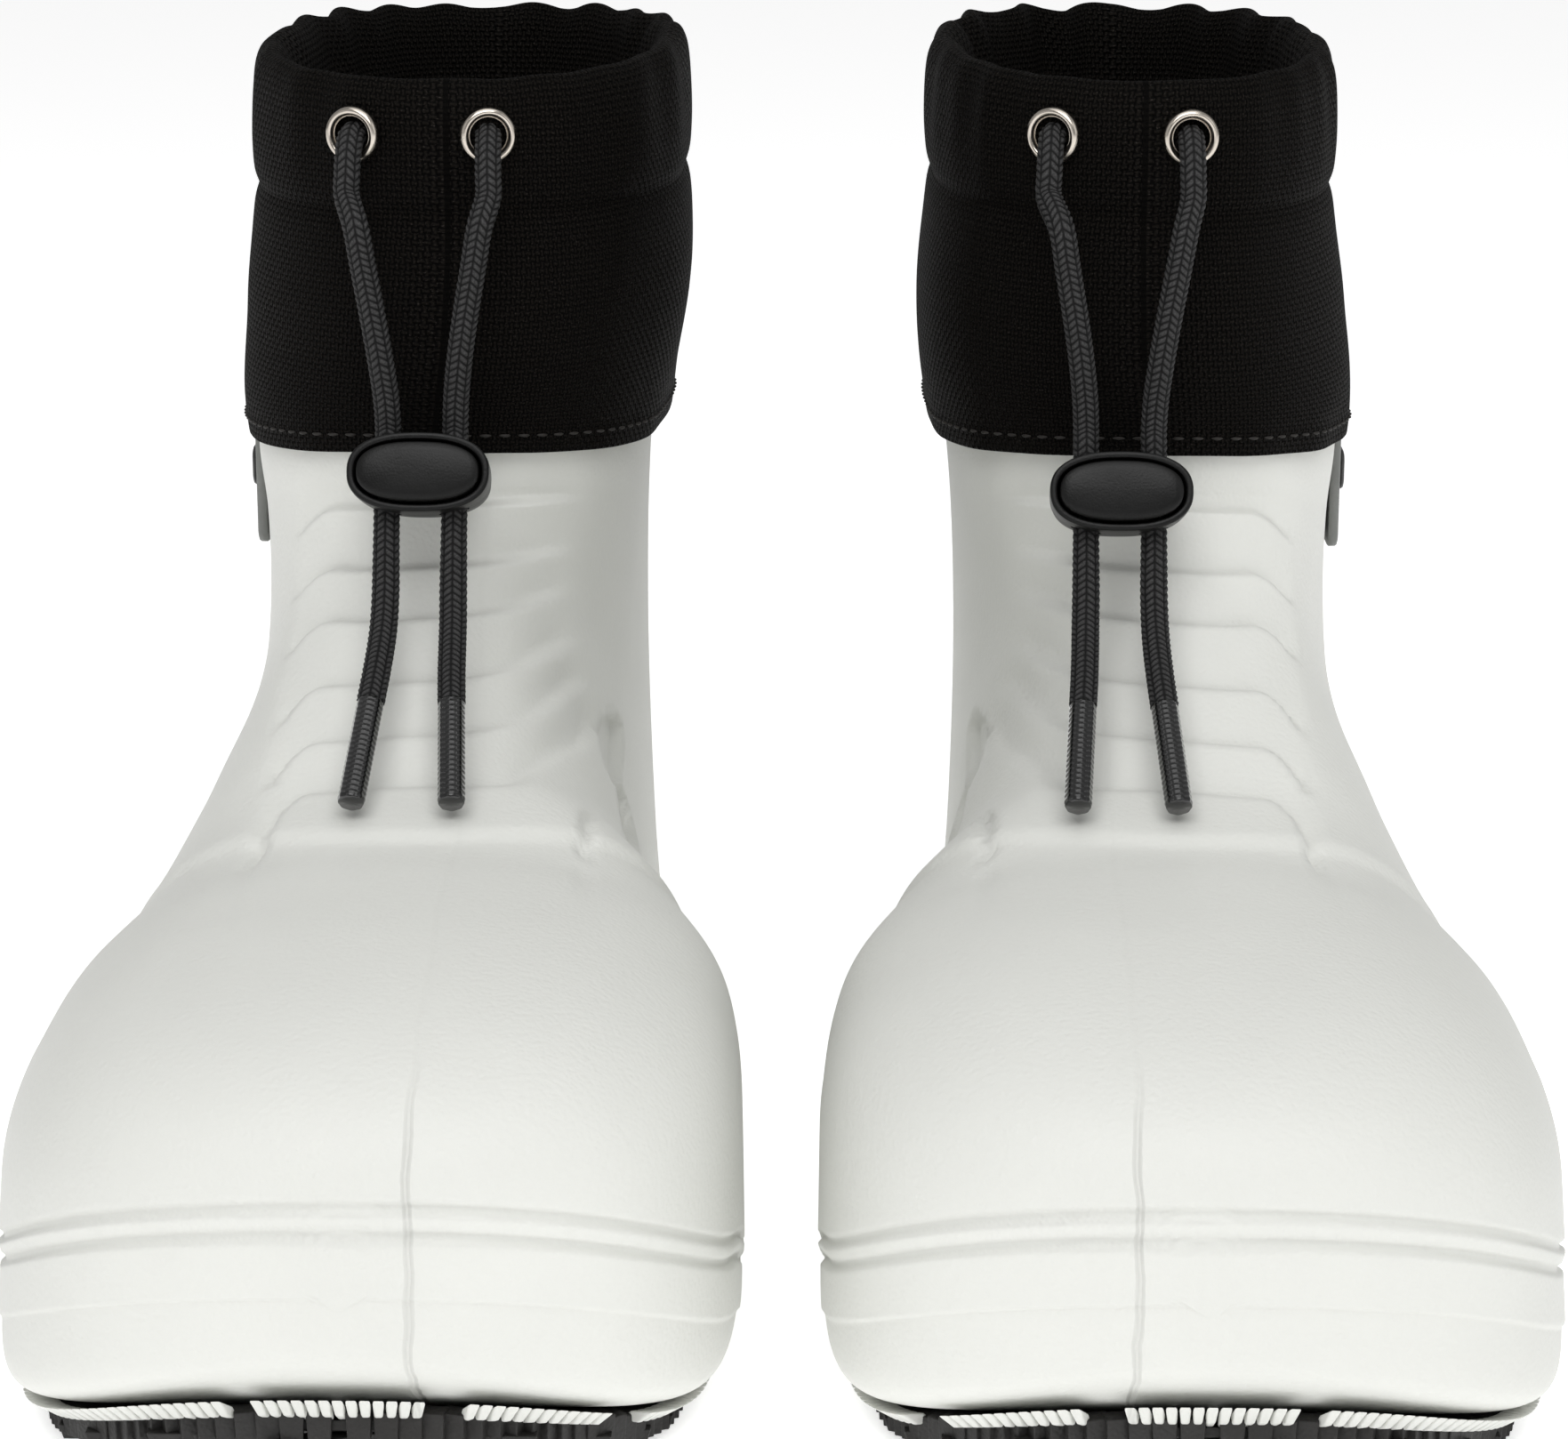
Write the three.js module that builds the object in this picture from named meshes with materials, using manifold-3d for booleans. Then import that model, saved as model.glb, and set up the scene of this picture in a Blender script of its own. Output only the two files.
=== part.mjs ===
// A pair of moulded winter ankle boots with a black fabric gaiter collar.
// Millimetres, +Z up. The toes point to -Y, the wearer's right boot stands at -X and the left one at +X.
// The origin is on the ground, midway between the boots and midway between toe tip and heel.
// Each boot is drawn once in a frame whose +X is its outer side, and the right boot is its mirror image.

import * as THREE from 'three';
import { mergeVertices } from 'three/addons/utils/BufferGeometryUtils.js';
import Module from 'manifold-3d';

const wasm = await Module();
wasm.setup();

// Driving dimensions
const FOOT_LENGTH = 300; // toe tip to the back of the heel
const FOREFOOT_WIDTH = 129; // across the widest part of the shell, at the sole
const TOE_TOP_NARROWER = 4; // each side of the toe's top, compared with its sole
const TOE_LEAN = 3; // how far the toe's top stands inwards of its sole
const TOE_GAP = 12; // between the two toes
const SHAFT_HEIGHT = 152; // ground to the top edge of the shell
const SHAFT_WIDTH = 77; // shell, side to side at its top edge
const SHAFT_DEPTH = 128; // shell, front to back at its top edge
const SHAFT_INWARD = 4.7; // how far the shaft stands inwards of the forefoot's middle
const HEEL_OVERHANG = 12; // the heel's back stands this far behind the shaft
const COLLAR_TOP = 212; // ground to the collar's rim
const HEM_HEIGHT = 139; // ground to the collar's hem at the sides
const HEM_FRONT_RISE = 4.5; // how much higher the hem is at the front
const EVA_WALL = 6; // shell wall
const LINER_WALL = 3.6; // insulated bootie
const INSOLE_THICKNESS = 4;
const OUTSOLE_THICKNESS = 4; // rubber, lugs included
const LUG_HEIGHT = 2;
const FABRIC = 1.5; // the collar's fabric where it is a single wall
const CORD_DIAMETER = 5;
const CORD_PLAY = 1; // room round the cord in an eyelet
const EYELET_RIM = 1.4; // width of an eyelet's flange round its bore
const LOCK_WIDTH = 26;
const LOCK_HEIGHT = 14.6;
const LOCK_DEPTH = 15;
const BUTTON_TRAVEL = 2.5;
const GAP = 0.4; // between pieces that touch

// Sizes and places that follow from them
const EYELET_BORE = CORD_DIAMETER + 2 * CORD_PLAY;
const EYELET_FLANGE = EYELET_BORE + 2 * EYELET_RIM;
const TOE_Y = -FOOT_LENGTH / 2;
const HEEL_Y = FOOT_LENGTH / 2;
const TOE_CAP_LENGTH = 62; // toe tip back to where the forefoot reaches its full width
const CAP_END_Y = TOE_Y + TOE_CAP_LENGTH;
const FOOT_X = (TOE_GAP + FOREFOOT_WIDTH) / 2;
const SHAFT_X = FOOT_X - SHAFT_INWARD;
const SHAFT_BACK_Y = HEEL_Y - HEEL_OVERHANG;
const SHAFT_FRONT_Y = SHAFT_BACK_Y - SHAFT_DEPTH;
const SHAFT_Y = (SHAFT_FRONT_Y + SHAFT_BACK_Y) / 2;
const SHAFT_ROUNDNESS = 2.5; // exponent of the shaft's oval
const SOLE_SQUARENESS = 10; // and of the lower half of a section at the sole
const TOE_TIP_HEIGHT = 36;
const TOE_TOP_HEIGHT = 84.5; // the toe cap's top where it reaches full width
const TOE_TOP_SLOPE = 0.11;
const TOE_SPRING = 18; // how far the sole has risen at the toe tip
const TOE_SPRING_START = 46; // distance from the toe tip at which the sole leaves the ground
const SHELL_BOTTOM = OUTSOLE_THICKNESS;

// Each boot: the side it stands on, where its drawcord sits across the collar, how low its cord lock hangs
const BOOTS = [
  { name: 'right', mirror: -1, cordOffset: 2, lockDrop: 0 },
  { name: 'left', mirror: 1, cordOffset: -5.5, lockDrop: 3 },
];

const MATERIALS = {
  eva: new THREE.MeshStandardMaterial({ color: 0xd9dad5, roughness: 0.75, metalness: 0 }),
  rubber: new THREE.MeshStandardMaterial({ color: 0x12110f, roughness: 0.7, metalness: 0 }),
  foam: new THREE.MeshStandardMaterial({ color: 0x55585a, roughness: 0.9, metalness: 0 }),
  fleece: new THREE.MeshStandardMaterial({ color: 0x24262a, roughness: 1, metalness: 0 }),
  fabric: new THREE.MeshStandardMaterial({ color: 0x100f0e, roughness: 0.95, metalness: 0 }),
  cord: new THREE.MeshStandardMaterial({ color: 0x2b2b2b, roughness: 0.85, metalness: 0 }),
  film: new THREE.MeshStandardMaterial({ color: 0x0b0b0b, roughness: 0.2, metalness: 0 }),
  nickel: new THREE.MeshStandardMaterial({ color: 0x8d877d, roughness: 0.2, metalness: 1 }),
  plastic: new THREE.MeshStandardMaterial({ color: 0x1d1d1c, roughness: 0.45, metalness: 0 }),
  steel: new THREE.MeshStandardMaterial({ color: 0x9a9a98, roughness: 0.3, metalness: 1 }),
  tab: new THREE.MeshStandardMaterial({ color: 0x70736d, roughness: 0.5, metalness: 0 }),
};

const signedPower = (value, power) => Math.sign(value) * Math.abs(value) ** power;
const mix = (a, b, share) => a + (b - a) * share;

// How far the sole has risen from the ground at y: nothing in the middle, a curve up to the toe
function soleRise(y) {
  const run = Math.max(0, TOE_Y + TOE_SPRING_START - y) / TOE_SPRING_START;
  return TOE_SPRING * run * run;
}

// A closed body from rings of points: each ring joins the next, and the ends are shut by fans,
// or the last ring joins the first when the body is a loop. From the ring numbered turned onwards each
// four-sided patch is split along its other diagonal, so that nested walls are split alike
function loft(rings, loop = false, turned = Infinity) {
  const around = rings[0].length;
  const points = rings.flat();
  const faces = [];
  const bands = loop ? rings.length : rings.length - 1;
  for (let i = 0; i < bands; i++) {
    const a = i * around;
    const b = ((i + 1) % rings.length) * around;
    for (let k = 0; k < around; k++) {
      const next = (k + 1) % around;
      if (i < turned) faces.push(a + k, a + next, b + next, a + k, b + next, b + k);
      else faces.push(a + k, a + next, b + k, a + next, b + next, b + k);
    }
  }
  if (!loop) {
    const last = (rings.length - 1) * around;
    points.push(middle(rings[0]), middle(rings[rings.length - 1]));
    for (let k = 0; k < around; k++) {
      const next = (k + 1) % around;
      faces.push(points.length - 2, next, k, points.length - 1, last + k, last + next);
    }
  }
  const geometry = new THREE.BufferGeometry().setFromPoints(points);
  geometry.setIndex(faces);
  return geometry;
}

function middle(ring) {
  return ring.reduce((sum, p) => sum.add(p), new THREE.Vector3()).divideScalar(ring.length);
}

// three.js geometry to a manifold-3d solid and back, for cuts and joins
function solid(geometry) {
  const bare = geometry.clone();
  bare.deleteAttribute('normal');
  bare.deleteAttribute('uv');
  const merged = mergeVertices(bare, 1e-4);
  return new wasm.Manifold(new wasm.Mesh({
    numProp: 3,
    vertProperties: merged.attributes.position.array,
    triVerts: new Uint32Array(merged.index.array),
  }));
}

function geometryOf(body) {
  const made = body.getMesh();
  const geometry = new THREE.BufferGeometry();
  geometry.setAttribute('position', new THREE.BufferAttribute(made.vertProperties, 3));
  geometry.setIndex(new THREE.BufferAttribute(made.triVerts, 1));
  return geometry;
}

// A sloping cross-section of the foot, from a top point to a bottom point in the middle plane,
// with half widths near its top and near its bottom, and the foam's thickness at its bottom
function section(top, bottom, upper, lower, pad, x = FOOT_X, lean = TOE_LEAN, roundBottom = SOLE_SQUARENESS) {
  return { top, bottom, upper, lower, pad, x, lean, roundBottom };
}

// The half widths in the rows below suit these two half widths, and shift with them
const ROWS_FOREFOOT_HALF = 64.5;
const ROWS_SHAFT_HALF = 38.5;
const INSTEP_LENGTH = 98; // the rows' run, along the ground

// The instep from the end of the toe cap to the shaft's front edge, as shares of its run and of its rise,
// paired with the sole's and heel's points. A longer foot grows in front of the second row. Each row: run,
// rise, bottom y from the heel, bottom z above the shell's underside, upper and lower half width, foam
// thickness, share of the way to the shaft's middle plane
const INSTEP_TO_SHAFT = [
  [0.000, 0.000, -238, 0, 60.5, 64.5, 14, 0.0],
  [0.347, 0.046, -196, 0, 57, 61, 14, 0.0],
  [0.510, 0.118, -154, 0, 48, 56, 14, -0.12],
  [0.622, 0.195, -110, 0, 41.2, 51, 18, -0.25],
  [0.755, 0.304, -70, 0, 38, 47, 20, -0.25],
  [0.847, 0.407, -42, 0, 35.4, 43.8, 22, -0.2],
  [0.918, 0.511, -17, 1, 34.6, 42, 24, -0.05],
  [0.959, 0.607, -3, 18, 34, 39.8, 18, 0.06],
  [0.985, 0.681, -0.5, 56, 35, 37.8, 9, 0.4],
  [0.997, 0.733, -6, 96, 36.8, 37.2, 6, 0.75],
];
const CUFF_BASE = 15; // below the shell's top edge the cuff is upright, under the collar
const LEAN_GONE = 0.3; // the share of the instep's rise at which it no longer leans

// Sections from the toe to the shaft's top edge. wall is how far the surface lies inside the outer one at the
// top and sides, and extra is what a lining adds to it all round
function sections(wall, extra) {
  const depth = wall + extra;
  const capLength = TOE_CAP_LENGTH - depth;
  const list = [];
  for (const degrees of [12, 32, 52, 72]) {
    const turn = THREE.MathUtils.degToRad(degrees);
    const y = CAP_END_Y - capLength * Math.cos(turn) ** 0.8;
    const halfWidth = (FOREFOOT_WIDTH / 2 - depth) * Math.sin(turn) ** 0.8;
    const foam = wall > 0 ? 12 + extra : 0;
    const ceiling = TOE_TOP_HEIGHT + (y - CAP_END_Y) * TOE_TOP_SLOPE - depth;
    const floor = SHELL_BOTTOM + soleRise(y) + foam;
    const top = mix(TOE_TIP_HEIGHT, ceiling, Math.sin(turn) ** 0.5);
    const bottom = mix(Math.max(TOE_TIP_HEIGHT, floor + 1) - 1, floor, Math.sin(turn) ** 0.35);
    const topHalfWidth = Math.max(1, halfWidth - TOE_TOP_NARROWER * Math.sin(turn) ** 0.8);
    list.push(section([y, top], [y, bottom], topHalfWidth, halfWidth, 0));
  }
  for (const [run, rise, back, up, upper, lower, pad, share] of INSTEP_TO_SHAFT) {
    const length = Math.min(INSTEP_LENGTH, SHAFT_FRONT_Y - CAP_END_Y);
    const topY = run === 0 ? CAP_END_Y : SHAFT_FRONT_Y - (1 - run) * length;
    const top = [topY, mix(TOE_TOP_HEIGHT, SHAFT_HEIGHT, rise)];
    const reach = back * (HEEL_Y - CAP_END_Y) / 238;
    const bottom = [HEEL_Y + reach, SHELL_BOTTOM + soleRise(HEEL_Y + reach) + up];
    const wide = mix(FOREFOOT_WIDTH / 2 - ROWS_FOREFOOT_HALF, SHAFT_WIDTH / 2 - ROWS_SHAFT_HALF, rise);
    const x = mix(FOOT_X, SHAFT_X, share);
    const climb = Math.sqrt(Math.max(0, up - 1) / (SHAFT_HEIGHT - CUFF_BASE));
    const roundBottom = mix(SOLE_SQUARENESS, SHAFT_ROUNDNESS, climb);
    const lean = TOE_LEAN * Math.max(0, 1 - rise / LEAN_GONE);
    const made = section(top, bottom, upper + wide, lower + wide, pad, x, lean, roundBottom);
    list.push(pulledIn(made, depth, (wall > 0 ? pad : 0) + extra));
  }
  for (const z of [SHAFT_HEIGHT - CUFF_BASE, SHAFT_HEIGHT]) {
    const half = SHAFT_WIDTH / 2;
    const oval = section([SHAFT_FRONT_Y, z], [SHAFT_BACK_Y, z], half, half, 0, SHAFT_X, 0, SHAFT_ROUNDNESS);
    list.push(pulledIn(oval, depth, depth));
  }
  return list;
}

// The same section, smaller by depth at its top and sides and by foam at its bottom
function pulledIn(s, depth, foam) {
  const dy = s.bottom[0] - s.top[0];
  const dz = s.bottom[1] - s.top[1];
  const length = Math.hypot(dy, dz);
  const top = [s.top[0] + dy / length * depth, s.top[1] + dz / length * depth];
  const bottom = [s.bottom[0] - dy / length * foam, s.bottom[1] - dz / length * foam];
  return { ...s, top, bottom, upper: s.upper - depth, lower: s.lower - depth };
}

// A point of a section: q runs from -1 at its bottom to 1 at its top, across from -1 to 1
function sectionPoint(s, q, across) {
  const share = (q + 1) / 2;
  const half = mix(s.lower, s.upper, share);
  const y = mix(s.bottom[0], s.top[0], share);
  const z = mix(s.bottom[1], s.top[1], share);
  return new THREE.Vector3(s.x - s.lean * share + across * half, y, z);
}

const RING_POINTS = 20;

// The section as a closed ring of points: a superellipse, squarer at the sole than over the instep.
// The rays from its middle are those of the shaft's oval, so that the ring meets the collar's point for point
function sectionRing(s) {
  return Array.from({ length: RING_POINTS }, (_, k) => {
    const turn = 2 * Math.PI * k / RING_POINTS;
    const up = signedPower(Math.cos(turn), 2 / SHAFT_ROUNDNESS);
    const side = signedPower(Math.sin(turn), 2 / SHAFT_ROUNDNESS);
    const power = up > 0 ? SHAFT_ROUNDNESS : s.roundBottom;
    const radius = (Math.abs(up) ** power + Math.abs(side) ** power) ** (-1 / power);
    return sectionPoint(s, radius * up, radius * side);
  });
}

// A hollow foot: the outer surface from the toe to the top edge, then the inner one back to the toe
function hollowFoot(outer, inner) {
  return loft([...outer.map(sectionRing), ...inner.map(sectionRing).reverse()], false, outer.length);
}

function shell() {
  return hollowFoot(sections(0, 0), sections(EVA_WALL, 0));
}

function bootie() {
  return hollowFoot(sections(EVA_WALL, GAP), sections(EVA_WALL, GAP + LINER_WALL));
}

// The footbed lies in the bootie: a wedge-edged plate across the sections of the foot
function insole() {
  const seat = 1.6;
  const rings = sections(EVA_WALL, GAP + LINER_WALL).slice(2, 10).map((s) => {
    const length = Math.hypot(s.top[0] - s.bottom[0], s.top[1] - s.bottom[1]);
    const low = 2 * seat / length - 1;
    const high = 2 * (seat + INSOLE_THICKNESS) / length - 1;
    const corners = [[high, -0.8], [high, 0.8], [low, 0.64], [low, -0.64]];
    return corners.map(([q, across]) => sectionPoint(s, q, across));
  });
  return loft(rings);
}

// Half the outsole's width at y, a little inside the shell's underside
function outsoleHalfWidth(y, inside) {
  const stations = sections(0, 0);
  const capShare = Math.min(1, (CAP_END_Y - y) / (TOE_CAP_LENGTH - inside));
  if (capShare > 0) return (FOREFOOT_WIDTH / 2 - inside) * (1 - capShare ** 2.5) ** 0.4;
  const after = Math.max(1, stations.findIndex((s) => s.bottom[0] > y));
  const [a, b] = [stations[after - 1], stations[after]];
  const width = mix(a.lower, b.lower, (y - a.bottom[0]) / (b.bottom[0] - a.bottom[0])) - inside;
  const heelRound = 34;
  const heelShare = Math.max(0, (y - (HEEL_Y - heelRound)) / (heelRound - inside));
  return width * (1 - Math.min(1, heelShare) ** 2.5) ** 0.4;
}

// The rubber outsole: a plate under the shell with rows of lugs that stand on the ground
function outsole() {
  const inside = 8;
  const first = TOE_Y + inside + 1;
  const last = HEEL_Y - inside - 4;
  const plateTop = OUTSOLE_THICKNESS - GAP;
  const steps = 20;
  const plate = loft(Array.from({ length: steps + 1 }, (_, i) => {
    const y = mix(first, last, (1 - Math.cos(Math.PI * i / steps)) / 2);
    const half = outsoleHalfWidth(y, inside) + 0.5;
    const z = soleRise(y);
    const x = mix(FOOT_X, SHAFT_X, Math.max(0, y - CAP_END_Y) / (HEEL_Y - CAP_END_Y));
    const corners = [[half, plateTop], [half, LUG_HEIGHT], [-half, LUG_HEIGHT], [-half, plateTop]];
    return corners.map(([dx, dz]) => new THREE.Vector3(x + dx, y, z + dz));
  }));
  let body = solid(plate);
  const lugLength = 9;
  const pitch = 15;
  for (let y = TOE_Y + TOE_SPRING_START + lugLength / 2; y < HEEL_Y - 30; y += pitch) {
    const width = 2 * outsoleHalfWidth(y, inside + 2);
    const x = mix(FOOT_X, SHAFT_X, Math.max(0, y - CAP_END_Y) / (HEEL_Y - CAP_END_Y));
    const height = LUG_HEIGHT + 0.5;
    const lug = new THREE.BoxGeometry(width, lugLength, height).translate(x, y, height / 2);
    body = body.add(solid(lug));
  }
  return geometryOf(body);
}

// A point of an oval that lies r outside the shaft's top edge; turn 0 is at the front, growing outwards
function ovalPoint(turn, r, z) {
  const power = 2 / SHAFT_ROUNDNESS;
  const x = SHAFT_X + (SHAFT_WIDTH / 2 + r) * signedPower(Math.sin(turn), power);
  const y = SHAFT_Y - (SHAFT_DEPTH / 2 + r) * signedPower(Math.cos(turn), power);
  return new THREE.Vector3(x, y, z);
}

// A closed profile of [r, z] points carried round the shaft's oval
function ovalLoop(profile) {
  return loft(profile.map(([r, z]) => Array.from({ length: RING_POINTS }, (_, k) => {
    const turn = 2 * Math.PI * k / RING_POINTS;
    const rise = typeof z === 'function' ? z(ovalPoint(turn, r, 0).y) : z;
    return ovalPoint(turn, r, rise);
  })), true);
}

function hemZ(y) {
  const share = Math.max(0, SHAFT_Y - y) / (SHAFT_DEPTH / 2);
  return HEM_HEIGHT + HEM_FRONT_RISE * Math.min(1, share) ** 2;
}

const CASING_OUT = 3.2; // the casing's outer face, outside the shaft's oval
const CHANNEL = CORD_DIAMETER + 2 * 0.8; // the room inside the casing for the drawcord
const CASING_HEIGHT = 24;
const CASING_ROOF = 4; // from the rim down to the channel
const WASHER_MARGIN = 0.5; // the washer's edge, outside the flange's
const WASHER_PLAY = 0.1; // between the washer and the channel's roof
const EYELET_BELOW_RIM = CASING_ROOF + EYELET_FLANGE / 2 + WASHER_MARGIN + WASHER_PLAY;
const EYELET_Z = COLLAR_TOP - EYELET_BELOW_RIM;
const EYELET_HALF_SPACING = 12.2;
const CORD_RING_R = CASING_OUT - FABRIC - CHANNEL / 2;

// The collar's outer fabric: up from the hem, over the rim, and down inside to the casing's seam
function collarBody() {
  const seam = COLLAR_TOP - CASING_HEIGHT;
  const channelOut = CASING_OUT - FABRIC;
  const channelIn = channelOut - CHANNEL;
  const legIn = channelIn - FABRIC;
  const bulge = mix(HEM_HEIGHT, seam, 0.6);
  return ovalLoop([
    [2.4, hemZ],
    [3.9, bulge],
    [2.9, seam - 1],
    [CASING_OUT, seam + 6],
    [CASING_OUT, COLLAR_TOP - 5],
    [channelOut, COLLAR_TOP - 1],
    [CORD_RING_R, COLLAR_TOP],
    [channelIn, COLLAR_TOP - 1],
    [legIn, COLLAR_TOP - 5],
    [legIn, seam],
    [channelIn, seam],
    [channelIn, COLLAR_TOP - CASING_ROOF],
    [channelOut, COLLAR_TOP - CASING_ROOF],
    [channelOut, seam + 3],
    [1.2, seam - 2],
    [2.2, bulge],
    [GAP, SHAFT_HEIGHT + 1],
    [GAP, hemZ],
  ]);
}

// The fabric lining stands on the shell's top edge and meets the casing's inner leg
function collarLining() {
  const top = COLLAR_TOP - CASING_HEIGHT - GAP;
  const bottom = SHAFT_HEIGHT + GAP;
  const legIn = CASING_OUT - 2 * FABRIC - CHANNEL;
  return ovalLoop([[-0.1, bottom], [0.4, mix(bottom, top, 0.5)], [-1, top], [legIn, top], [-4.6, bottom]]);
}

// Where an eyelet sits on the casing: hand is 1 for the outer one and -1 for the inner one
function eyeletPlace(boot, hand) {
  const dx = boot.cordOffset + hand * EYELET_HALF_SPACING;
  const reach = SHAFT_WIDTH / 2 + CASING_OUT;
  const turn = Math.asin(signedPower(dx / reach, SHAFT_ROUNDNESS / 2));
  const point = ovalPoint(turn, CASING_OUT, EYELET_Z);
  const step = 0.01;
  const before = ovalPoint(turn - step, CASING_OUT, EYELET_Z);
  const along = ovalPoint(turn + step, CASING_OUT, EYELET_Z).sub(before);
  const normal = new THREE.Vector3(along.y, -along.x, 0).normalize();
  return { point, normal, turn };
}

// A lathed body whose axis, given as +Y, is turned to a direction and set at a point
function turnedTo(geometry, direction, point) {
  const turn = new THREE.Quaternion().setFromUnitVectors(new THREE.Vector3(0, 1, 0), direction);
  return geometry.applyQuaternion(turn).translate(point.x, point.y, point.z);
}

// Closed [radius, height] profile spun round +Y
function lathed(profile, sides) {
  const points = profile.map(([r, h]) => new THREE.Vector2(r, h));
  return new THREE.LatheGeometry([...points, points[0].clone()], sides);
}

// The collar with a hole behind each eyelet
function collar(boot) {
  let body = solid(collarBody());
  for (const hand of [1, -1]) {
    const { point, normal } = eyeletPlace(boot, hand);
    const hole = new THREE.CylinderGeometry(EYELET_BORE / 2 + 0.8, EYELET_BORE / 2 + 0.8, 8, 14);
    body = body.subtract(solid(turnedTo(hole, normal, point)));
  }
  return geometryOf(body);
}

// A domed metal eyelet: flange in front, barrel through the fabric
function eyelet(place) {
  const bore = EYELET_BORE / 2;
  const flange = EYELET_FLANGE / 2;
  const barrel = bore + 0.4;
  const dome = mix(bore, flange, 0.5);
  const profile = [
    [bore, -3.6], [barrel, -3.6], [barrel, 0.7], [flange, 0.7], [flange, 1.2], [dome, 2], [bore, 1.4],
  ];
  return turnedTo(lathed(profile, 14), place.normal, place.point);
}

const CASING_BEND = 14.6; // the tightest curve of the casing behind an eyelet

// The flat washer that clamps the fabric from behind, set back by the curve's depth across its width
function washer(place) {
  const inner = EYELET_BORE / 2 + 0.8;
  const outer = EYELET_FLANGE / 2 + WASHER_MARGIN;
  const front = -(FABRIC + GAP + outer ** 2 / (2 * CASING_BEND));
  const profile = [[inner, front - 0.4], [outer, front - 0.4], [outer, front], [inner, front]];
  return turnedTo(lathed(profile, 14), place.normal, place.point);
}

// A round cord along a curve through the points
function cordAlong(points, steps, sides = 8, diameter = CORD_DIAMETER) {
  const ring = Array.from({ length: sides }, (_, k) => {
    const turn = 2 * Math.PI * k / sides;
    return new THREE.Vector2(Math.cos(turn) * diameter / 2, Math.sin(turn) * diameter / 2);
  });
  const path = new THREE.CatmullRomCurve3(points, false, 'centripetal');
  return new THREE.ExtrudeGeometry(new THREE.Shape(ring), { steps, extrudePath: path, bevelEnabled: false });
}

// The drawcord's run inside the casing, from beside one eyelet round the back to the other
function casingCord(boot) {
  const reach = SHAFT_WIDTH / 2 + CORD_RING_R;
  const clear = EYELET_FLANGE / 2 + 1.6;
  const turnOf = (hand) => {
    const dx = boot.cordOffset + hand * (EYELET_HALF_SPACING + clear);
    return Math.asin(signedPower(dx / reach, SHAFT_ROUNDNESS / 2));
  };
  const [from, to] = [turnOf(1), turnOf(-1) + 2 * Math.PI];
  const steps = 26;
  const points = Array.from({ length: steps + 1 }, (_, i) => {
    return ovalPoint(mix(from, to, i / steps), CORD_RING_R, EYELET_Z);
  });
  return cordAlong(points, steps);
}

// The cord lock hangs on the two legs of the cord. Its bores lean forward by LOCK_TILT as they go down
const LOCK_TILT = THREE.MathUtils.degToRad(20);
const LOCK_FORWARD = 15; // the cords' middle, in front of the shaft's front edge
const LOCK_Z = 141.4;
const BORE_HALF_SPACING = 6.2;
const BORE_BEHIND_FACE = 6.7;
const LOCK_WALL = 1.3;
const DOWN_CORD = new THREE.Vector3(0, -Math.sin(LOCK_TILT), -Math.cos(LOCK_TILT));

// One leg of the drawcord: [out from the cord's middle, y from the shaft's front edge, z].
// It drops from the eyelet, runs straight through the lock, and lies forward to its tip on the instep
const LEG_POINTS = [
  [11.3, -11.7, 187.0],
  [10.0, -12.3, 179.5],
  [8.6, -12.6, 171.5],
  [7.3, -12.5, 163.0],
  [6.45, -11.6, 155.5],
  [6.2, -11.7, 150.0],
  [6.2, -13.0, 146.9],
  [6.2, -15.0, 141.4],
  [6.2, -17.4, 134.8],
  [6.2, -19.8, 128.3],
  [6.2, -22.2, 121.6],
  [6.3, -24.6, 117.0],
  [6.45, -28.2, 113.6],
  [6.8, -34.6, 109.5],
  [7.3, -41.0, 105.4],
];
const AGLET_LENGTH = 24;
const AGLET_DIAMETER = CORD_DIAMETER - 0.2;

// The leg's route from behind the eyelet: out along the eyelet's axis, over its lower rim, then down.
// In front of the rim it turns from the axis to straight forward
function legRoute(boot, hand) {
  const { point, normal } = eyeletPlace(boot, hand);
  const rim = 1.5;
  const out = (distance, drop) => {
    const sideways = Math.min(distance, rim) + 0.25 * Math.max(0, distance - rim);
    return new THREE.Vector3(point.x + normal.x * sideways, point.y + normal.y * distance, EYELET_Z - drop);
  };
  const exit = [
    out(-2.6, 0), out(-0.6, 0), out(1.5, 0.35), out(3.6, 1.5), out(5.4, 3.6), out(6.6, 6.6), out(7.4, 10.2),
  ];
  const x = SHAFT_X + boot.cordOffset;
  const drop = LEG_POINTS.map(([dx, y, z]) => new THREE.Vector3(x + hand * dx, SHAFT_FRONT_Y + y, z));
  return [...exit, ...drop];
}

// The leg's own line ends where the aglet starts, and the aglet carries on in the same direction
function aglet(boot, hand) {
  const route = legRoute(boot, hand);
  const [before, end] = route.slice(-2);
  const direction = end.clone().sub(before).normalize();
  const start = end.clone().addScaledVector(direction, GAP);
  const tip = AGLET_DIAMETER / 2;
  const profile = [[0, 0], [tip, 0], [tip, AGLET_LENGTH - 0.4], [tip - 0.4, AGLET_LENGTH], [0, AGLET_LENGTH]];
  const body = new THREE.LatheGeometry(profile.map(([r, h]) => new THREE.Vector2(r, h)), 10);
  return turnedTo(body, direction, start);
}

// An oval outline, as a three.js shape
function oval(halfWidth, halfHeight, sides = 24) {
  const power = 0.82;
  return new THREE.Shape(Array.from({ length: sides }, (_, k) => {
    const turn = 2 * Math.PI * k / sides;
    const x = halfWidth * signedPower(Math.cos(turn), power);
    return new THREE.Vector2(x, halfHeight * signedPower(Math.sin(turn), power));
  }));
}

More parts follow.
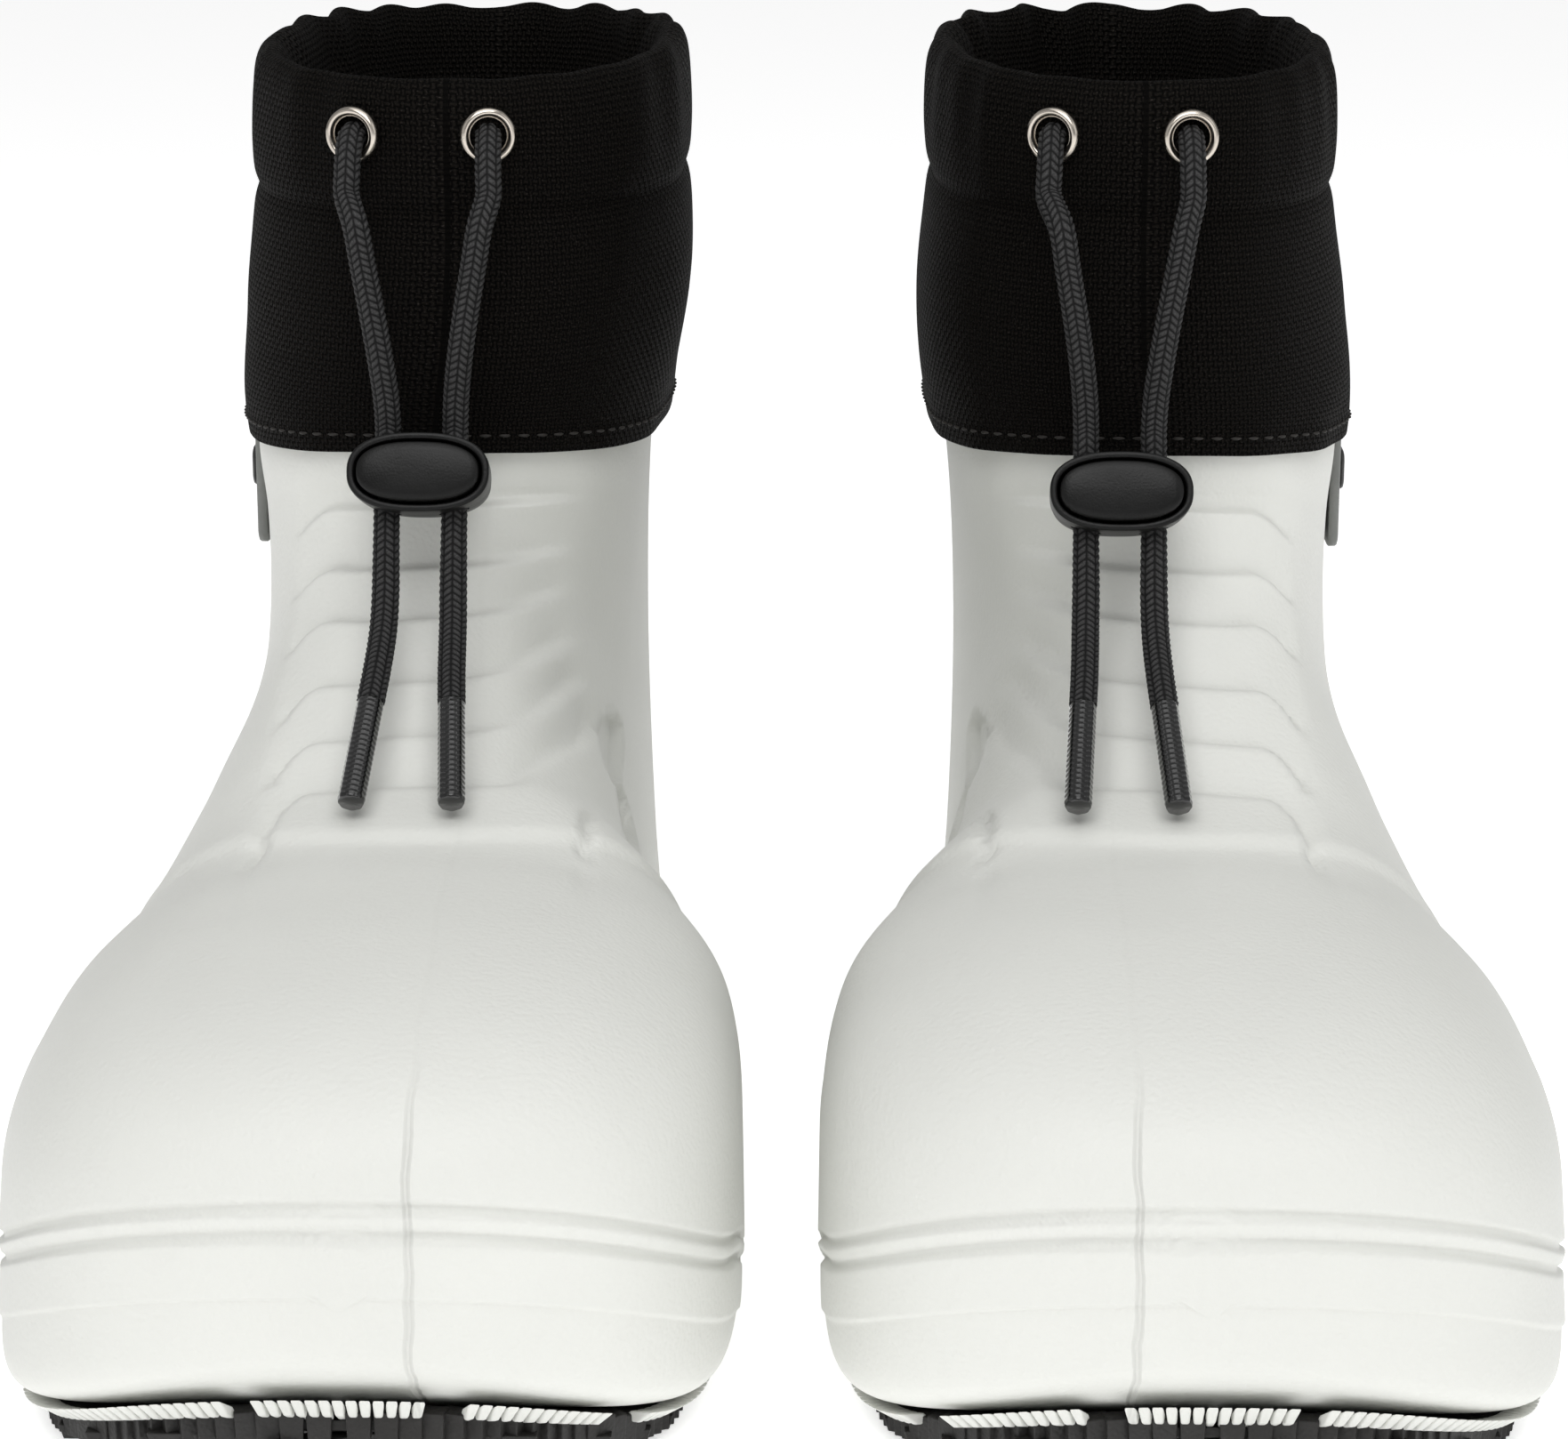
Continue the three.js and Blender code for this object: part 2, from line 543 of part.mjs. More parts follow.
// The outline extruded from one depth behind the lock's face to a greater one; the lock's own +Z is its face
function behindFace(shape, from, to) {
  const body = new THREE.ExtrudeGeometry(shape, { depth: to - from, bevelEnabled: false });
  return body.translate(0, 0, BORE_BEHIND_FACE - to);
}

const POCKET_DEPTH = LOCK_DEPTH - 1.5;
const BUTTON_CLEARANCE = 0.5;
const SPRING_RADIUS = 2;

// The lock's barrel: an oval cup, open at its face, with a bore through it for each cord
function lockBody() {
  const outer = behindFace(oval(LOCK_WIDTH / 2, LOCK_HEIGHT / 2), 0, LOCK_DEPTH);
  const pocket = behindFace(oval(LOCK_WIDTH / 2 - LOCK_WALL, LOCK_HEIGHT / 2 - LOCK_WALL), -1, POCKET_DEPTH);
  let body = solid(outer).subtract(solid(pocket));
  for (const hand of [1, -1]) {
    const radius = CORD_DIAMETER / 2 + 0.35;
    const bore = new THREE.CylinderGeometry(radius, radius, LOCK_HEIGHT + 4, 14);
    body = body.subtract(solid(bore.translate(hand * BORE_HALF_SPACING, 0, 0)));
  }
  return geometryOf(body);
}

// The button slides in the barrel. Its slots leave the cords room over the whole travel,
// and its middle holds the spring
function lockButton() {
  const inset = LOCK_WALL + BUTTON_CLEARANCE;
  const proud = 0.8;
  const back = POCKET_DEPTH - BUTTON_TRAVEL - 0.3;
  let body = solid(behindFace(oval(LOCK_WIDTH / 2 - inset, LOCK_HEIGHT / 2 - inset), -proud, back));
  const slotWidth = CORD_DIAMETER + 0.7;
  const slotFront = BORE_BEHIND_FACE - CORD_DIAMETER / 2 - 0.35 - BUTTON_TRAVEL;
  const slotBack = BORE_BEHIND_FACE + CORD_DIAMETER / 2 + 0.35;
  const slotDepth = slotBack - slotFront;
  for (const hand of [1, -1]) {
    const slot = new THREE.BoxGeometry(slotWidth, LOCK_HEIGHT, slotDepth);
    const z = BORE_BEHIND_FACE - (slotFront + slotBack) / 2;
    body = body.subtract(solid(slot.translate(hand * BORE_HALF_SPACING, 0, z)));
  }
  const pocket = new THREE.CylinderGeometry(SPRING_RADIUS + 0.6, SPRING_RADIUS + 0.6, back - 1, 14);
  pocket.rotateX(Math.PI / 2).translate(0, 0, BORE_BEHIND_FACE - 2 - (back - 1) / 2);
  return geometryOf(body.subtract(solid(pocket)));
}

// A compression spring between the button's pocket and the barrel's back wall
function lockSpring() {
  const wire = 0.5;
  const turns = 4;
  const stepsPerTurn = 6;
  const front = BORE_BEHIND_FACE - 2 - wire / 2 - 0.3;
  const back = BORE_BEHIND_FACE - POCKET_DEPTH + wire / 2 + 0.3;
  const steps = turns * stepsPerTurn;
  const points = Array.from({ length: steps + 1 }, (_, i) => {
    const turn = 2 * Math.PI * i / stepsPerTurn;
    const [x, y] = [SPRING_RADIUS * Math.cos(turn), SPRING_RADIUS * Math.sin(turn)];
    return new THREE.Vector3(x, y, mix(front, back, i / steps));
  });
  return cordAlong(points, steps, 6, wire);
}

// A flat tab that hangs below the hem on the boot's outer side, and the blank badge on it
const TAB_WIDTH = 18;
const TAB_THICKNESS = 2;
const TAB_LENGTH = 26;
const TAB_TOP = HEM_HEIGHT - GAP;
const TAB_CLEARANCE = 1.8; // between the tab and the shell's top edge
const TAB_X = SHAFT_X + SHAFT_WIDTH / 2 + TAB_CLEARANCE;

function plate(width, height, thickness, corner, x, y, z) {
  const shape = new THREE.Shape();
  const [w, h] = [width / 2, height / 2];
  shape.moveTo(-w + corner, -h);
  shape.absarc(w - corner, -h + corner, corner, -Math.PI / 2, 0);
  shape.absarc(w - corner, h - corner, corner, 0, Math.PI / 2);
  shape.absarc(-w + corner, h - corner, corner, Math.PI / 2, Math.PI);
  shape.absarc(-w + corner, -h + corner, corner, Math.PI, 1.5 * Math.PI);
  const body = new THREE.ExtrudeGeometry(shape, { depth: thickness, bevelEnabled: false, curveSegments: 2 });
  return body.rotateX(Math.PI / 2).rotateZ(Math.PI / 2).translate(x, y, z);
}

function sideTab() {
  return plate(TAB_WIDTH, TAB_LENGTH, TAB_THICKNESS, 3, TAB_X, SHAFT_Y, TAB_TOP - TAB_LENGTH / 2);
}

function tabBadge() {
  const size = 8;
  const x = TAB_X + TAB_THICKNESS + 0.3;
  return plate(size + 3, size, 0.9, 2.5, x, SHAFT_Y, TAB_TOP - TAB_LENGTH * 0.42);
}

// One boot, in the frame of the left boot; the right boot's group mirrors it
function boot(settings) {
  const group = new THREE.Group();
  group.scale.x = settings.mirror;
  const add = (name, geometry, material, parent = group) => {
    const mesh = new THREE.Mesh(geometry, MATERIALS[material].clone());
    mesh.name = settings.name + '_' + name;
    parent.add(mesh);
  };
  add('shell', shell(), 'eva');
  add('outsole', outsole(), 'rubber');
  add('bootie', bootie(), 'fleece');
  add('insole', insole(), 'foam');
  add('collar', collar(settings), 'fabric');
  add('collar_lining', collarLining(), 'fabric');
  add('casing_cord', casingCord(settings), 'cord');
  for (const [side, hand] of [['outer', 1], ['inner', -1]]) {
    const place = eyeletPlace(settings, hand);
    add(side + '_eyelet', eyelet(place), 'nickel');
    add(side + '_washer', washer(place), 'nickel');
    add(side + '_cord', cordAlong(legRoute(settings, hand), 30), 'cord');
    add(side + '_aglet', aglet(settings, hand), 'film');
  }
  const lock = new THREE.Group();
  lock.position.set(SHAFT_X + settings.cordOffset, SHAFT_FRONT_Y - LOCK_FORWARD, LOCK_Z);
  lock.position.addScaledVector(DOWN_CORD, settings.lockDrop);
  lock.rotation.x = Math.PI / 2 - LOCK_TILT;
  group.add(lock);
  add('lock_body', lockBody(), 'plastic', lock);
  add('lock_button', lockButton(), 'plastic', lock);
  add('lock_spring', lockSpring(), 'steel', lock);
  add('side_tab', sideTab(), 'tab');
  add('tab_badge', tabBadge(), 'plastic');
  return group;
}

const pair = new THREE.Group();
for (const settings of BOOTS) pair.add(boot(settings));

export default pair;
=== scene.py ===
# %% [markdown]
# # A pair of moulded winter ankle boots
# This lesson dresses a finished CAD model. The CAD gives the frame, the joints and the collision shapes.
# Blender gives the looks: foam skin, woven collar, braided cord, metal eyelets and a sprung cord lock.
# Every length is in metres. +Z is up, the toes point to -Y, and the ground is at z = 0.
# Each boot is worked out once with its outer side towards +X, and the right boot is its mirror image.

import math

import bmesh
import bpy
import numpy as np
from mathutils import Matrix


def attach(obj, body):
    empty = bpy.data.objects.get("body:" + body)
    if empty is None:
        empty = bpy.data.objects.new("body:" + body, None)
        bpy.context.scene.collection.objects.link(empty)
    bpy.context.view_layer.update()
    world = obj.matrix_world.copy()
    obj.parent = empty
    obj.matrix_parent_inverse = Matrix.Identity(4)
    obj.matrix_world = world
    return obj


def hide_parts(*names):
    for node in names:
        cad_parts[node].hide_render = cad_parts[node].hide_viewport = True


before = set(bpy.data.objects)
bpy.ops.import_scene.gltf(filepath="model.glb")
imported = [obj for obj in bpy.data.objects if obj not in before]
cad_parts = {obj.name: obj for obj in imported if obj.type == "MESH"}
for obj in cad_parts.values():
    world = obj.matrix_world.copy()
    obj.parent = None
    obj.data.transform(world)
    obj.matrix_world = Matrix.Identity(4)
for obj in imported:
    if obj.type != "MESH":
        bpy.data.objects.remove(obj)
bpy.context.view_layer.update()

# %% [markdown]
# ## The camera
# The boots are seen from in front and a little above, close by, as on a product table.

# %% Camera
CAMERA_PLACE = (0.0145, -0.800, 0.3097)
CAMERA_DOWN = math.radians(15.07)
CAMERA_TURN = math.radians(1.13)
CAMERA_LENS = 101.7

camera_data = bpy.data.cameras.new("camera")
camera_data.lens = CAMERA_LENS
camera_data.sensor_width = 36.0
camera = bpy.data.objects.new("camera", camera_data)
camera.location = CAMERA_PLACE
camera.rotation_euler = (math.radians(90) - CAMERA_DOWN, 0.0, CAMERA_TURN)
bpy.context.scene.collection.objects.link(camera)
bpy.context.scene.camera = camera
print("camera lens", CAMERA_LENS, "mm")

# %% [markdown]
# ## Sizes that everything shares
# They repeat the CAD model's driving sizes, so each piece lands where its collision shape is.

# %% Shared sizes
FOOT_LENGTH = 0.300
FOREFOOT_WIDTH = 0.129
TOE_GAP = 0.012
TOE_TOP_NARROWER = 0.004
SHAFT_HEIGHT = 0.152
SHAFT_HALF_WIDTH = 0.0385
SHAFT_HALF_DEPTH = 0.064
SHAFT_INWARD = 0.0047
HEEL_OVERHANG = 0.012
COLLAR_TOP = 0.212
CASING_HEIGHT = 0.024
SHELL_BOTTOM = 0.004

TOE_Y = -FOOT_LENGTH / 2
HEEL_Y = FOOT_LENGTH / 2
CAP_LENGTH = 0.062
CAP_END_Y = TOE_Y + CAP_LENGTH
FOOT_X = (TOE_GAP + FOREFOOT_WIDTH) / 2
SHAFT_X = FOOT_X - SHAFT_INWARD
SHAFT_BACK_Y = HEEL_Y - HEEL_OVERHANG
SHAFT_FRONT_Y = SHAFT_BACK_Y - 2 * SHAFT_HALF_DEPTH
SHAFT_Y = SHAFT_BACK_Y - SHAFT_HALF_DEPTH

# Each boot: its name, its mirror sign, where its drawcord sits across the collar, how low its lock hangs,
# a seed for how its fabric happens to fold, and how far its collar's rim slides inwards and narrows
BOOTS = [
    dict(name="right", mirror=-1, cord_offset=0.002, lock_drop=0.0, seed=3,
         rim_shift=-0.0022, rim_slim=0.0004),
    dict(name="left", mirror=1, cord_offset=-0.0055, lock_drop=0.003, seed=8,
         rim_shift=-0.0009, rim_slim=0.0030),
]


def signed_power(value, power):
    """The value's size raised to a power, with its sign kept."""
    return np.sign(value) * np.abs(value) ** power


def ramp(value, low, high):
    """0 below low, 1 above high, and an S-shaped curve between."""
    share = np.clip((value - low) / (high - low), 0, 1)
    return share * share * (3 - 2 * share)


def bump(value, centre, width):
    """A bell curve, 1 at the centre and about 0.37 one width away."""
    return np.exp(-(((value - centre) / width) ** 2))


def full_turn(count):
    """Evenly spaced angles once round, without repeating the first."""
    return np.linspace(0, 2 * math.pi, count, endpoint=False)


def run_length(points):
    """The distance run along a line of points, 0 at its first."""
    steps = np.linalg.norm(np.diff(points, axis=0), axis=1)
    return np.concatenate([[0], np.cumsum(steps)])


print("foot length %.3f m, forefoot %.3f m, collar top at %.3f m" % (FOOT_LENGTH, FOREFOOT_WIDTH, COLLAR_TOP))

# %% [markdown]
# ## Turning arrays into meshes
# A surface is a grid of points: its rows and columns are the two parameters of a formula.
# Neighbours on the grid become four-sided faces, and a grid that closes on itself wraps round.

# %% Grid to mesh
def grid_faces(rows, columns, wrap_rows=False, wrap_columns=False):
    """Four corners of each face of a rows x columns grid, as one array."""
    r = np.arange(rows if wrap_rows else rows - 1)[:, None]
    c = np.arange(columns if wrap_columns else columns - 1)[None, :]
    a = r * columns + c
    b = r * columns + (c + 1) % columns
    d = ((r + 1) % rows) * columns + c
    e = ((r + 1) % rows) * columns + (c + 1) % columns
    return np.stack([a, b, e, d], axis=-1).reshape(-1, 4)


def mesh_object(name, points, faces, mirror=1, uv=None, smooth=True):
    """A new object from points and faces. A mirrored one has x negated and its faces turned back."""
    points = np.asarray(points, float).reshape(-1, 3).copy()
    points[:, 0] *= mirror
    if mirror < 0:
        faces = [tuple(f)[::-1] for f in faces]
    mesh = bpy.data.meshes.new(name)
    mesh.from_pydata(points.tolist(), [], [tuple(int(i) for i in f) for f in faces])
    if uv is not None:
        layer = mesh.uv_layers.new(name="cloth")
        corner = np.zeros(len(mesh.loops), np.int32)
        mesh.loops.foreach_get("vertex_index", corner)
        layer.data.foreach_set("uv", np.asarray(uv, np.float32).reshape(-1, 2)[corner].ravel())
    mesh.polygons.foreach_set("use_smooth", np.full(len(mesh.polygons), smooth))
    mesh.update()
    made = bpy.data.objects.new(name, mesh)
    bpy.context.scene.collection.objects.link(made)
    return made


def close_ends(points, faces, rows, columns, last=True):
    """Adds a fan of faces from a middle point to the grid's first row and, unless told not to, its last."""
    points = np.asarray(points, float).reshape(-1, 3)
    faces = [tuple(f) for f in faces]
    around = np.arange(columns)
    points = np.vstack([points, points[:columns].mean(0)])
    tip = len(points) - 1
    faces += [(tip, (k + 1) % columns, k) for k in around]
    if last:
        base = (rows - 1) * columns
        points = np.vstack([points, points[base : base + columns].mean(0)])
        tip = len(points) - 1
        faces += [(tip, base + k, base + (k + 1) % columns) for k in around]
    return points, faces


def face_outward(piece):
    """Turns the faces of a closed piece so that they all look out."""
    work = bmesh.new()
    work.from_mesh(piece.data)
    bmesh.ops.recalc_face_normals(work, faces=work.faces)
    work.to_mesh(piece.data)
    work.free()
    return piece


def grid_normals(points):
    """Unit normals of a tube's grid of points, from the cross product of its row and column directions."""
    down = np.gradient(points, axis=0)
    across = np.roll(points, -1, axis=1) - np.roll(points, 1, axis=1)
    normal = np.cross(across, down)
    length = np.linalg.norm(normal, axis=-1, keepdims=True)
    return normal / np.maximum(length, 1e-12)


def tube_mesh(name, grid, mirror, **settings):
    """A closed tube: a grid that wraps round its columns, with a fan of faces over each end."""
    rows, columns = grid.shape[:2]
    flat, faces = close_ends(grid, grid_faces(rows, columns, wrap_columns=True), rows, columns)
    return face_outward(mesh_object(name, flat, faces, mirror, **settings))


def dress(piece, boot, material, node_name=None, body="boot"):
    """Gives a piece its material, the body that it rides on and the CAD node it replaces."""
    piece.data.materials.append(material)
    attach(piece, f"{boot['name']}_{body}")
    if node_name:
        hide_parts(f"{boot['name']}_{node_name}")
    return piece


def thicken(piece, wall):
    """Gives a sheet its wall, half of it on each side."""
    thick = piece.modifiers.new("thickness", "SOLIDIFY")
    thick.thickness = wall
    thick.offset = 0


def soften(piece, width):
    """Rounds a piece's edges with a small bevel."""
    bevel = piece.modifiers.new("round", "BEVEL")
    bevel.width = width
    bevel.segments = 2


print("faces of a 3 x 4 grid:", len(grid_faces(3, 4)))
print("faces of the same grid wrapped round:", len(grid_faces(3, 4, wrap_columns=True)))

# %% [markdown]
# ## Shader helpers
# Materials are built from nodes in code. A small helper makes each node and wires it, so that a
# material reads as a list of steps. Effects that several materials share are node groups.

# %% Node helpers
def fill(tree, made, inputs):
    """Links a node's inputs to sockets, or sets them to plain values."""
    for key, value in inputs.items():
        if isinstance(value, bpy.types.NodeSocket):
            tree.links.new(value, made.inputs[key])
        else:
            made.inputs[key].default_value = value
    return made


def node(tree, kind, inputs=None, **settings):
    """A new node of a kind, with settings and with values or links for its inputs."""
    made = tree.nodes.new(kind)
    for key, value in settings.items():
        setattr(made, key, value)
    return fill(tree, made, inputs or {})


def math_node(tree, operation, a, b=0.0):
    return node(tree, "ShaderNodeMath", {0: a, 1: b}, operation=operation).outputs[0]


def times(tree, a, b):
    return math_node(tree, "MULTIPLY", a, b)


def object_place(tree):
    return tree.nodes.new("ShaderNodeTexCoord").outputs["Object"]


def noise_at(tree, place, scale, detail):
    inputs = {"Vector": place, "Scale": scale, "Detail": detail}
    return node(tree, "ShaderNodeTexNoise", inputs).outputs["Fac"]


def spread(tree, value, low, high, out_low=0.0, out_high=1.0):
    """Maps a value from one range to another, held at both ends."""
    inputs = {"Value": value, "From Min": low, "From Max": high, "To Min": out_low, "To Max": out_high}
    return node(tree, "ShaderNodeMapRange", inputs, clamp=True).outputs[0]


def blend_colour(tree, share, a, b):
    return node(tree, "ShaderNodeMix", {0: share, 6: a, 7: b}, data_type="RGBA").outputs[2]


def new_group(name, ins, outs):
    """An empty node group with named sockets. Returns the tree, its input node and its output node."""
    tree = bpy.data.node_groups.new(name, "ShaderNodeTree")
    kinds = {"float": "NodeSocketFloat", "colour": "NodeSocketColor", "vector": "NodeSocketVector"}
    for label, kind, value in ins:
        socket = tree.interface.new_socket(name=label, in_out="INPUT", socket_type=kinds[kind])
        if value is not None:
            socket.default_value = value
    for label, kind in outs:
        tree.interface.new_socket(name=label, in_out="OUTPUT", socket_type=kinds[kind])
    return tree, tree.nodes.new("NodeGroupInput"), tree.nodes.new("NodeGroupOutput")


def use_group(tree, group, inputs):
    made = tree.nodes.new("ShaderNodeGroup")
    made.node_tree = group
    return fill(tree, made, inputs)


def new_material(name, **sockets):
    """A material with a Principled shader whose plain sockets are set by name."""
    material = bpy.data.materials.new(name)
    material.use_nodes = True
    shader = material.node_tree.nodes["Principled BSDF"]
    for key, value in sockets.items():
        shader.inputs[key.replace("_", " ")].default_value = value
    return material, material.node_tree, shader


def feed_bump(tree, shader, height, strength, depth):
    """Feeds a height to a shader's normal through a bump node."""
    bumped = node(tree, "ShaderNodeBump", {"Height": height, "Strength": strength, "Distance": depth})
    tree.links.new(bumped.outputs[0], shader.inputs["Normal"])


print("materials are built for Blender", bpy.app.version_string)

# %% [markdown]
# ## Shared effects
# Dust and handling leave slow, faint changes of tone on every surface. Fine grain gives a moulded skin.
# Both are built once and placed in each material with its own numbers.

# %% Node groups: tone drift and fine grain
def make_drift_group():
    """Colour = the given colour, lightened or darkened slowly over a few centimetres by noise."""
    ins = [("Colour", "colour", (1, 1, 1, 1)), ("Size", "float", 30.0), ("Amount", "float", 0.05)]
    tree, start, end = new_group("tone_drift", ins, [("Colour", "colour"), ("Mask", "float")])
    noise = noise_at(tree, object_place(tree), start.outputs["Size"], 4.0)
    low = math_node(tree, "SUBTRACT", 1.0, start.outputs["Amount"])
    high = math_node(tree, "ADD", 1.0, start.outputs["Amount"])
    gain = spread(tree, noise, 0.3, 0.7, low, high)
    scaled = node(tree, "ShaderNodeVectorMath", {0: start.outputs["Colour"], 3: gain}, operation="SCALE")
    fill(tree, end, {"Colour": scaled.outputs[0], "Mask": noise})
    return tree


def make_grain_group():
    """Height = small rounded cells plus finer noise, the pebbled skin that a mould leaves on plastic."""
    ins = [("Size", "float", 900.0), ("Fine", "float", 0.4)]
    tree, start, end = new_group("moulded_grain", ins, [("Height", "float")])
    place = object_place(tree)
    inputs = {"Vector": place, "Scale": start.outputs["Size"]}
    cells = node(tree, "ShaderNodeTexVoronoi", inputs, feature="SMOOTH_F1")
    fine = times(tree, noise_at(tree, place, start.outputs["Size"], 5.0), start.outputs["Fine"])
    fill(tree, end, {"Height": math_node(tree, "SUBTRACT", fine, cells.outputs["Distance"])})
    return tree


DRIFT = make_drift_group()
GRAIN = make_grain_group()
print("node groups:", DRIFT.name, GRAIN.name)


def grained(tree, shader, size, fine, strength, depth):
    """Feeds the moulded grain to a shader's normal."""
    grain = use_group(tree, GRAIN, {"Size": size, "Fine": fine})
    feed_bump(tree, shader, grain.outputs[0], strength, depth)


def toned(tree, shader, colour, size, amount, rough=None):
    """Feeds a drifting tone to a shader's colour and, with a range given, its mask to the roughness."""
    tone = use_group(tree, DRIFT, {"Colour": (*colour, 1), "Size": size, "Amount": amount})
    tree.links.new(tone.outputs["Colour"], shader.inputs["Base Color"])
    if rough:
        tree.links.new(spread(tree, tone.outputs["Mask"], *rough), shader.inputs["Roughness"])


# %% [markdown]
# ## Foam material
# The shell is foam expanded in a mould. It is pale, matt and slightly pebbled, and the two halves of the
# mould leave a wavy line down the middle of the toe. The line is drawn where the surface crosses the
# mould's plane, so it needs no geometry of its own.

# %% Foam material
PARTING_X = 0.0575
PARTING_TOP = 0.075
FOAM_COLOUR = (0.70, 0.705, 0.670, 1)
LINE_COLOUR = (0.42, 0.42, 0.39, 1)
LINE_STRENGTH = 0.22
LINE_DEPTH = 0.0004
PEBBLE_DEPTH = 0.00012


def parting_line(tree, place):
    """1 on a thin wavy line where the surface crosses the mould's plane, fading above the toe's front."""
    x, y, z = node(tree, "ShaderNodeSeparateXYZ", {0: place}).outputs
    wobble = noise_at(tree, place, 55.0, 3.0)
    wave = times(tree, math_node(tree, "SUBTRACT", wobble, 0.5), 0.0035)
    aside = math_node(tree, "SUBTRACT", math_node(tree, "ABSOLUTE", x), PARTING_X)
    off_line = math_node(tree, "ABSOLUTE", math_node(tree, "ADD", aside, wave))
    thin = spread(tree, off_line, 0.0002, 0.0008, 1.0, 0.0)
    low = spread(tree, z, PARTING_TOP - 0.012, PARTING_TOP, 1.0, 0.12)
    front = spread(tree, y, 0.01, 0.02, 1.0, 0.0)
    return times(tree, times(tree, thin, low), front)


def make_foam():
    material, tree, shader = new_material("eva_foam", Roughness=0.52, Specular_IOR_Level=0.42)
    line = parting_line(tree, object_place(tree))
    tone = use_group(tree, DRIFT, {"Colour": FOAM_COLOUR, "Size": 22.0, "Amount": 0.02})
    colour = blend_colour(tree, times(tree, line, LINE_STRENGTH), tone.outputs["Colour"], LINE_COLOUR)
    tree.links.new(colour, shader.inputs["Base Color"])
    pebble = use_group(tree, GRAIN, {"Size": 1100.0, "Fine": 0.7})
    raised = times(tree, pebble.outputs[0], PEBBLE_DEPTH)
    height = math_node(tree, "SUBTRACT", raised, times(tree, line, LINE_DEPTH))
    feed_bump(tree, shader, height, 0.8, 1.0)
    return material


FOAM = make_foam()
print("foam shader nodes:", len(FOAM.node_tree.nodes))

# %% [markdown]
# ## The moulded shell
# A boot shell is a tube of sloping cross-sections that fan round the ankle: upright at the toe, level at
# the top edge. Each cross-section is a superellipse between a point on the top line and a point on the
# sole line. The toe is a superellipsoid cap. Between a few chosen stations all values run on a smooth
# curve, and the moulded steps are then pushed out along the surface's own normals.

# %% Shell stations
# Instep to shaft: share of the run and of the rise from the cap's end to the shaft's front edge,
# the sole point's distance from the heel and height, upper and lower half width, share of the shift inwards
INSTEP_STATIONS = np.array([
    [0.000, 0.000, -0.238, 0.000, 0.0605, 0.0645, 0.00],
    [0.200, 0.030, -0.215, 0.000, 0.0595, 0.0635, 0.00],
    [0.347, 0.046, -0.196, 0.000, 0.0570, 0.0610, 0.00],
    [0.510, 0.118, -0.154, 0.000, 0.0480, 0.0560, -0.12],
    [0.622, 0.195, -0.110, 0.000, 0.0412, 0.0510, -0.25],
    [0.755, 0.304, -0.070, 0.000, 0.0380, 0.0470, -0.25],
    [0.847, 0.407, -0.042, 0.000, 0.0354, 0.0438, -0.20],
    [0.918, 0.511, -0.017, 0.001, 0.0346, 0.0420, -0.05],
    [0.959, 0.607, -0.003, 0.018, 0.0340, 0.0398, 0.06],
    [0.985, 0.681, -0.0005, 0.056, 0.0350, 0.0378, 0.25],
    [0.997, 0.733, -0.006, 0.096, 0.0368, 0.0372, 0.45],
])
CUFF_BASE = 0.015
TOE_TIP_HEIGHT = 0.036
TOE_TOP_HEIGHT = 0.0845
TOE_TOP_SLOPE = 0.11
TOE_SPRING = 0.018
TOE_SPRING_START = 0.046
SOLE_SQUARENESS = 10.0
TOP_ROUNDNESS = 2.5
TOE_LOPSIDED = 0.30
TOE_LEAN = 0.003


def sole_rise(y):
    """How far the sole has risen at y: nothing in the middle, the square of the distance at the toe."""
    run = np.maximum(0, TOE_Y + TOE_SPRING_START - y) / TOE_SPRING_START
    return TOE_SPRING * run**2


def smooth_through(values, count):
    """Points on a Catmull-Rom curve through the rows of values, evenly many for each span."""
    t = np.linspace(0, len(values) - 1, count)
    i = np.clip(t.astype(int), 0, len(values) - 2)
    f = (t - i)[:, None]
    padded = np.vstack([2 * values[0] - values[1], values, 2 * values[-1] - values[-2]])
    a, b, c, d = padded[i], padded[i + 1], padded[i + 2], padded[i + 3]
    return 0.5 * (2 * b + (c - a) * f + (2 * a - 5 * b + 4 * c - d) * f**2 + (3 * b - a - 3 * c + d) * f**3)


def toe_sections(count):
    """Sections of the toe cap, from its tip to its full width, as a superellipsoid."""
    turn = np.linspace(math.radians(1.5), math.radians(90), count)
    y = CAP_END_Y - CAP_LENGTH * np.cos(turn) ** 0.8
    widen = np.sin(turn) ** 0.8
    lower = FOREFOOT_WIDTH / 2 * widen
    upper = (FOREFOOT_WIDTH / 2 - TOE_TOP_NARROWER) * widen
    ceiling = TOE_TOP_HEIGHT + (y - CAP_END_Y) * TOE_TOP_SLOPE
    floor = SHELL_BOTTOM + sole_rise(y)
    top = TOE_TIP_HEIGHT + (ceiling - TOE_TIP_HEIGHT) * np.sin(turn) ** 0.45
    bottom = TOE_TIP_HEIGHT + (floor - TOE_TIP_HEIGHT) * np.sin(turn) ** 0.3
    x, round_top, round_bottom = (np.full(count, v) for v in (FOOT_X, TOP_ROUNDNESS, SOLE_SQUARENESS))
    return np.stack([y, top, y, bottom, upper, lower, x, round_top, round_bottom], 1)


def cuff_section(z, share):
    """An upright section of the shaft at height z, with its share of the shift inwards."""
    x = FOOT_X - SHAFT_INWARD * share
    half = SHAFT_HALF_WIDTH
    return [SHAFT_FRONT_Y, z, SHAFT_BACK_Y, z, half, half, x, TOP_ROUNDNESS, TOP_ROUNDNESS]


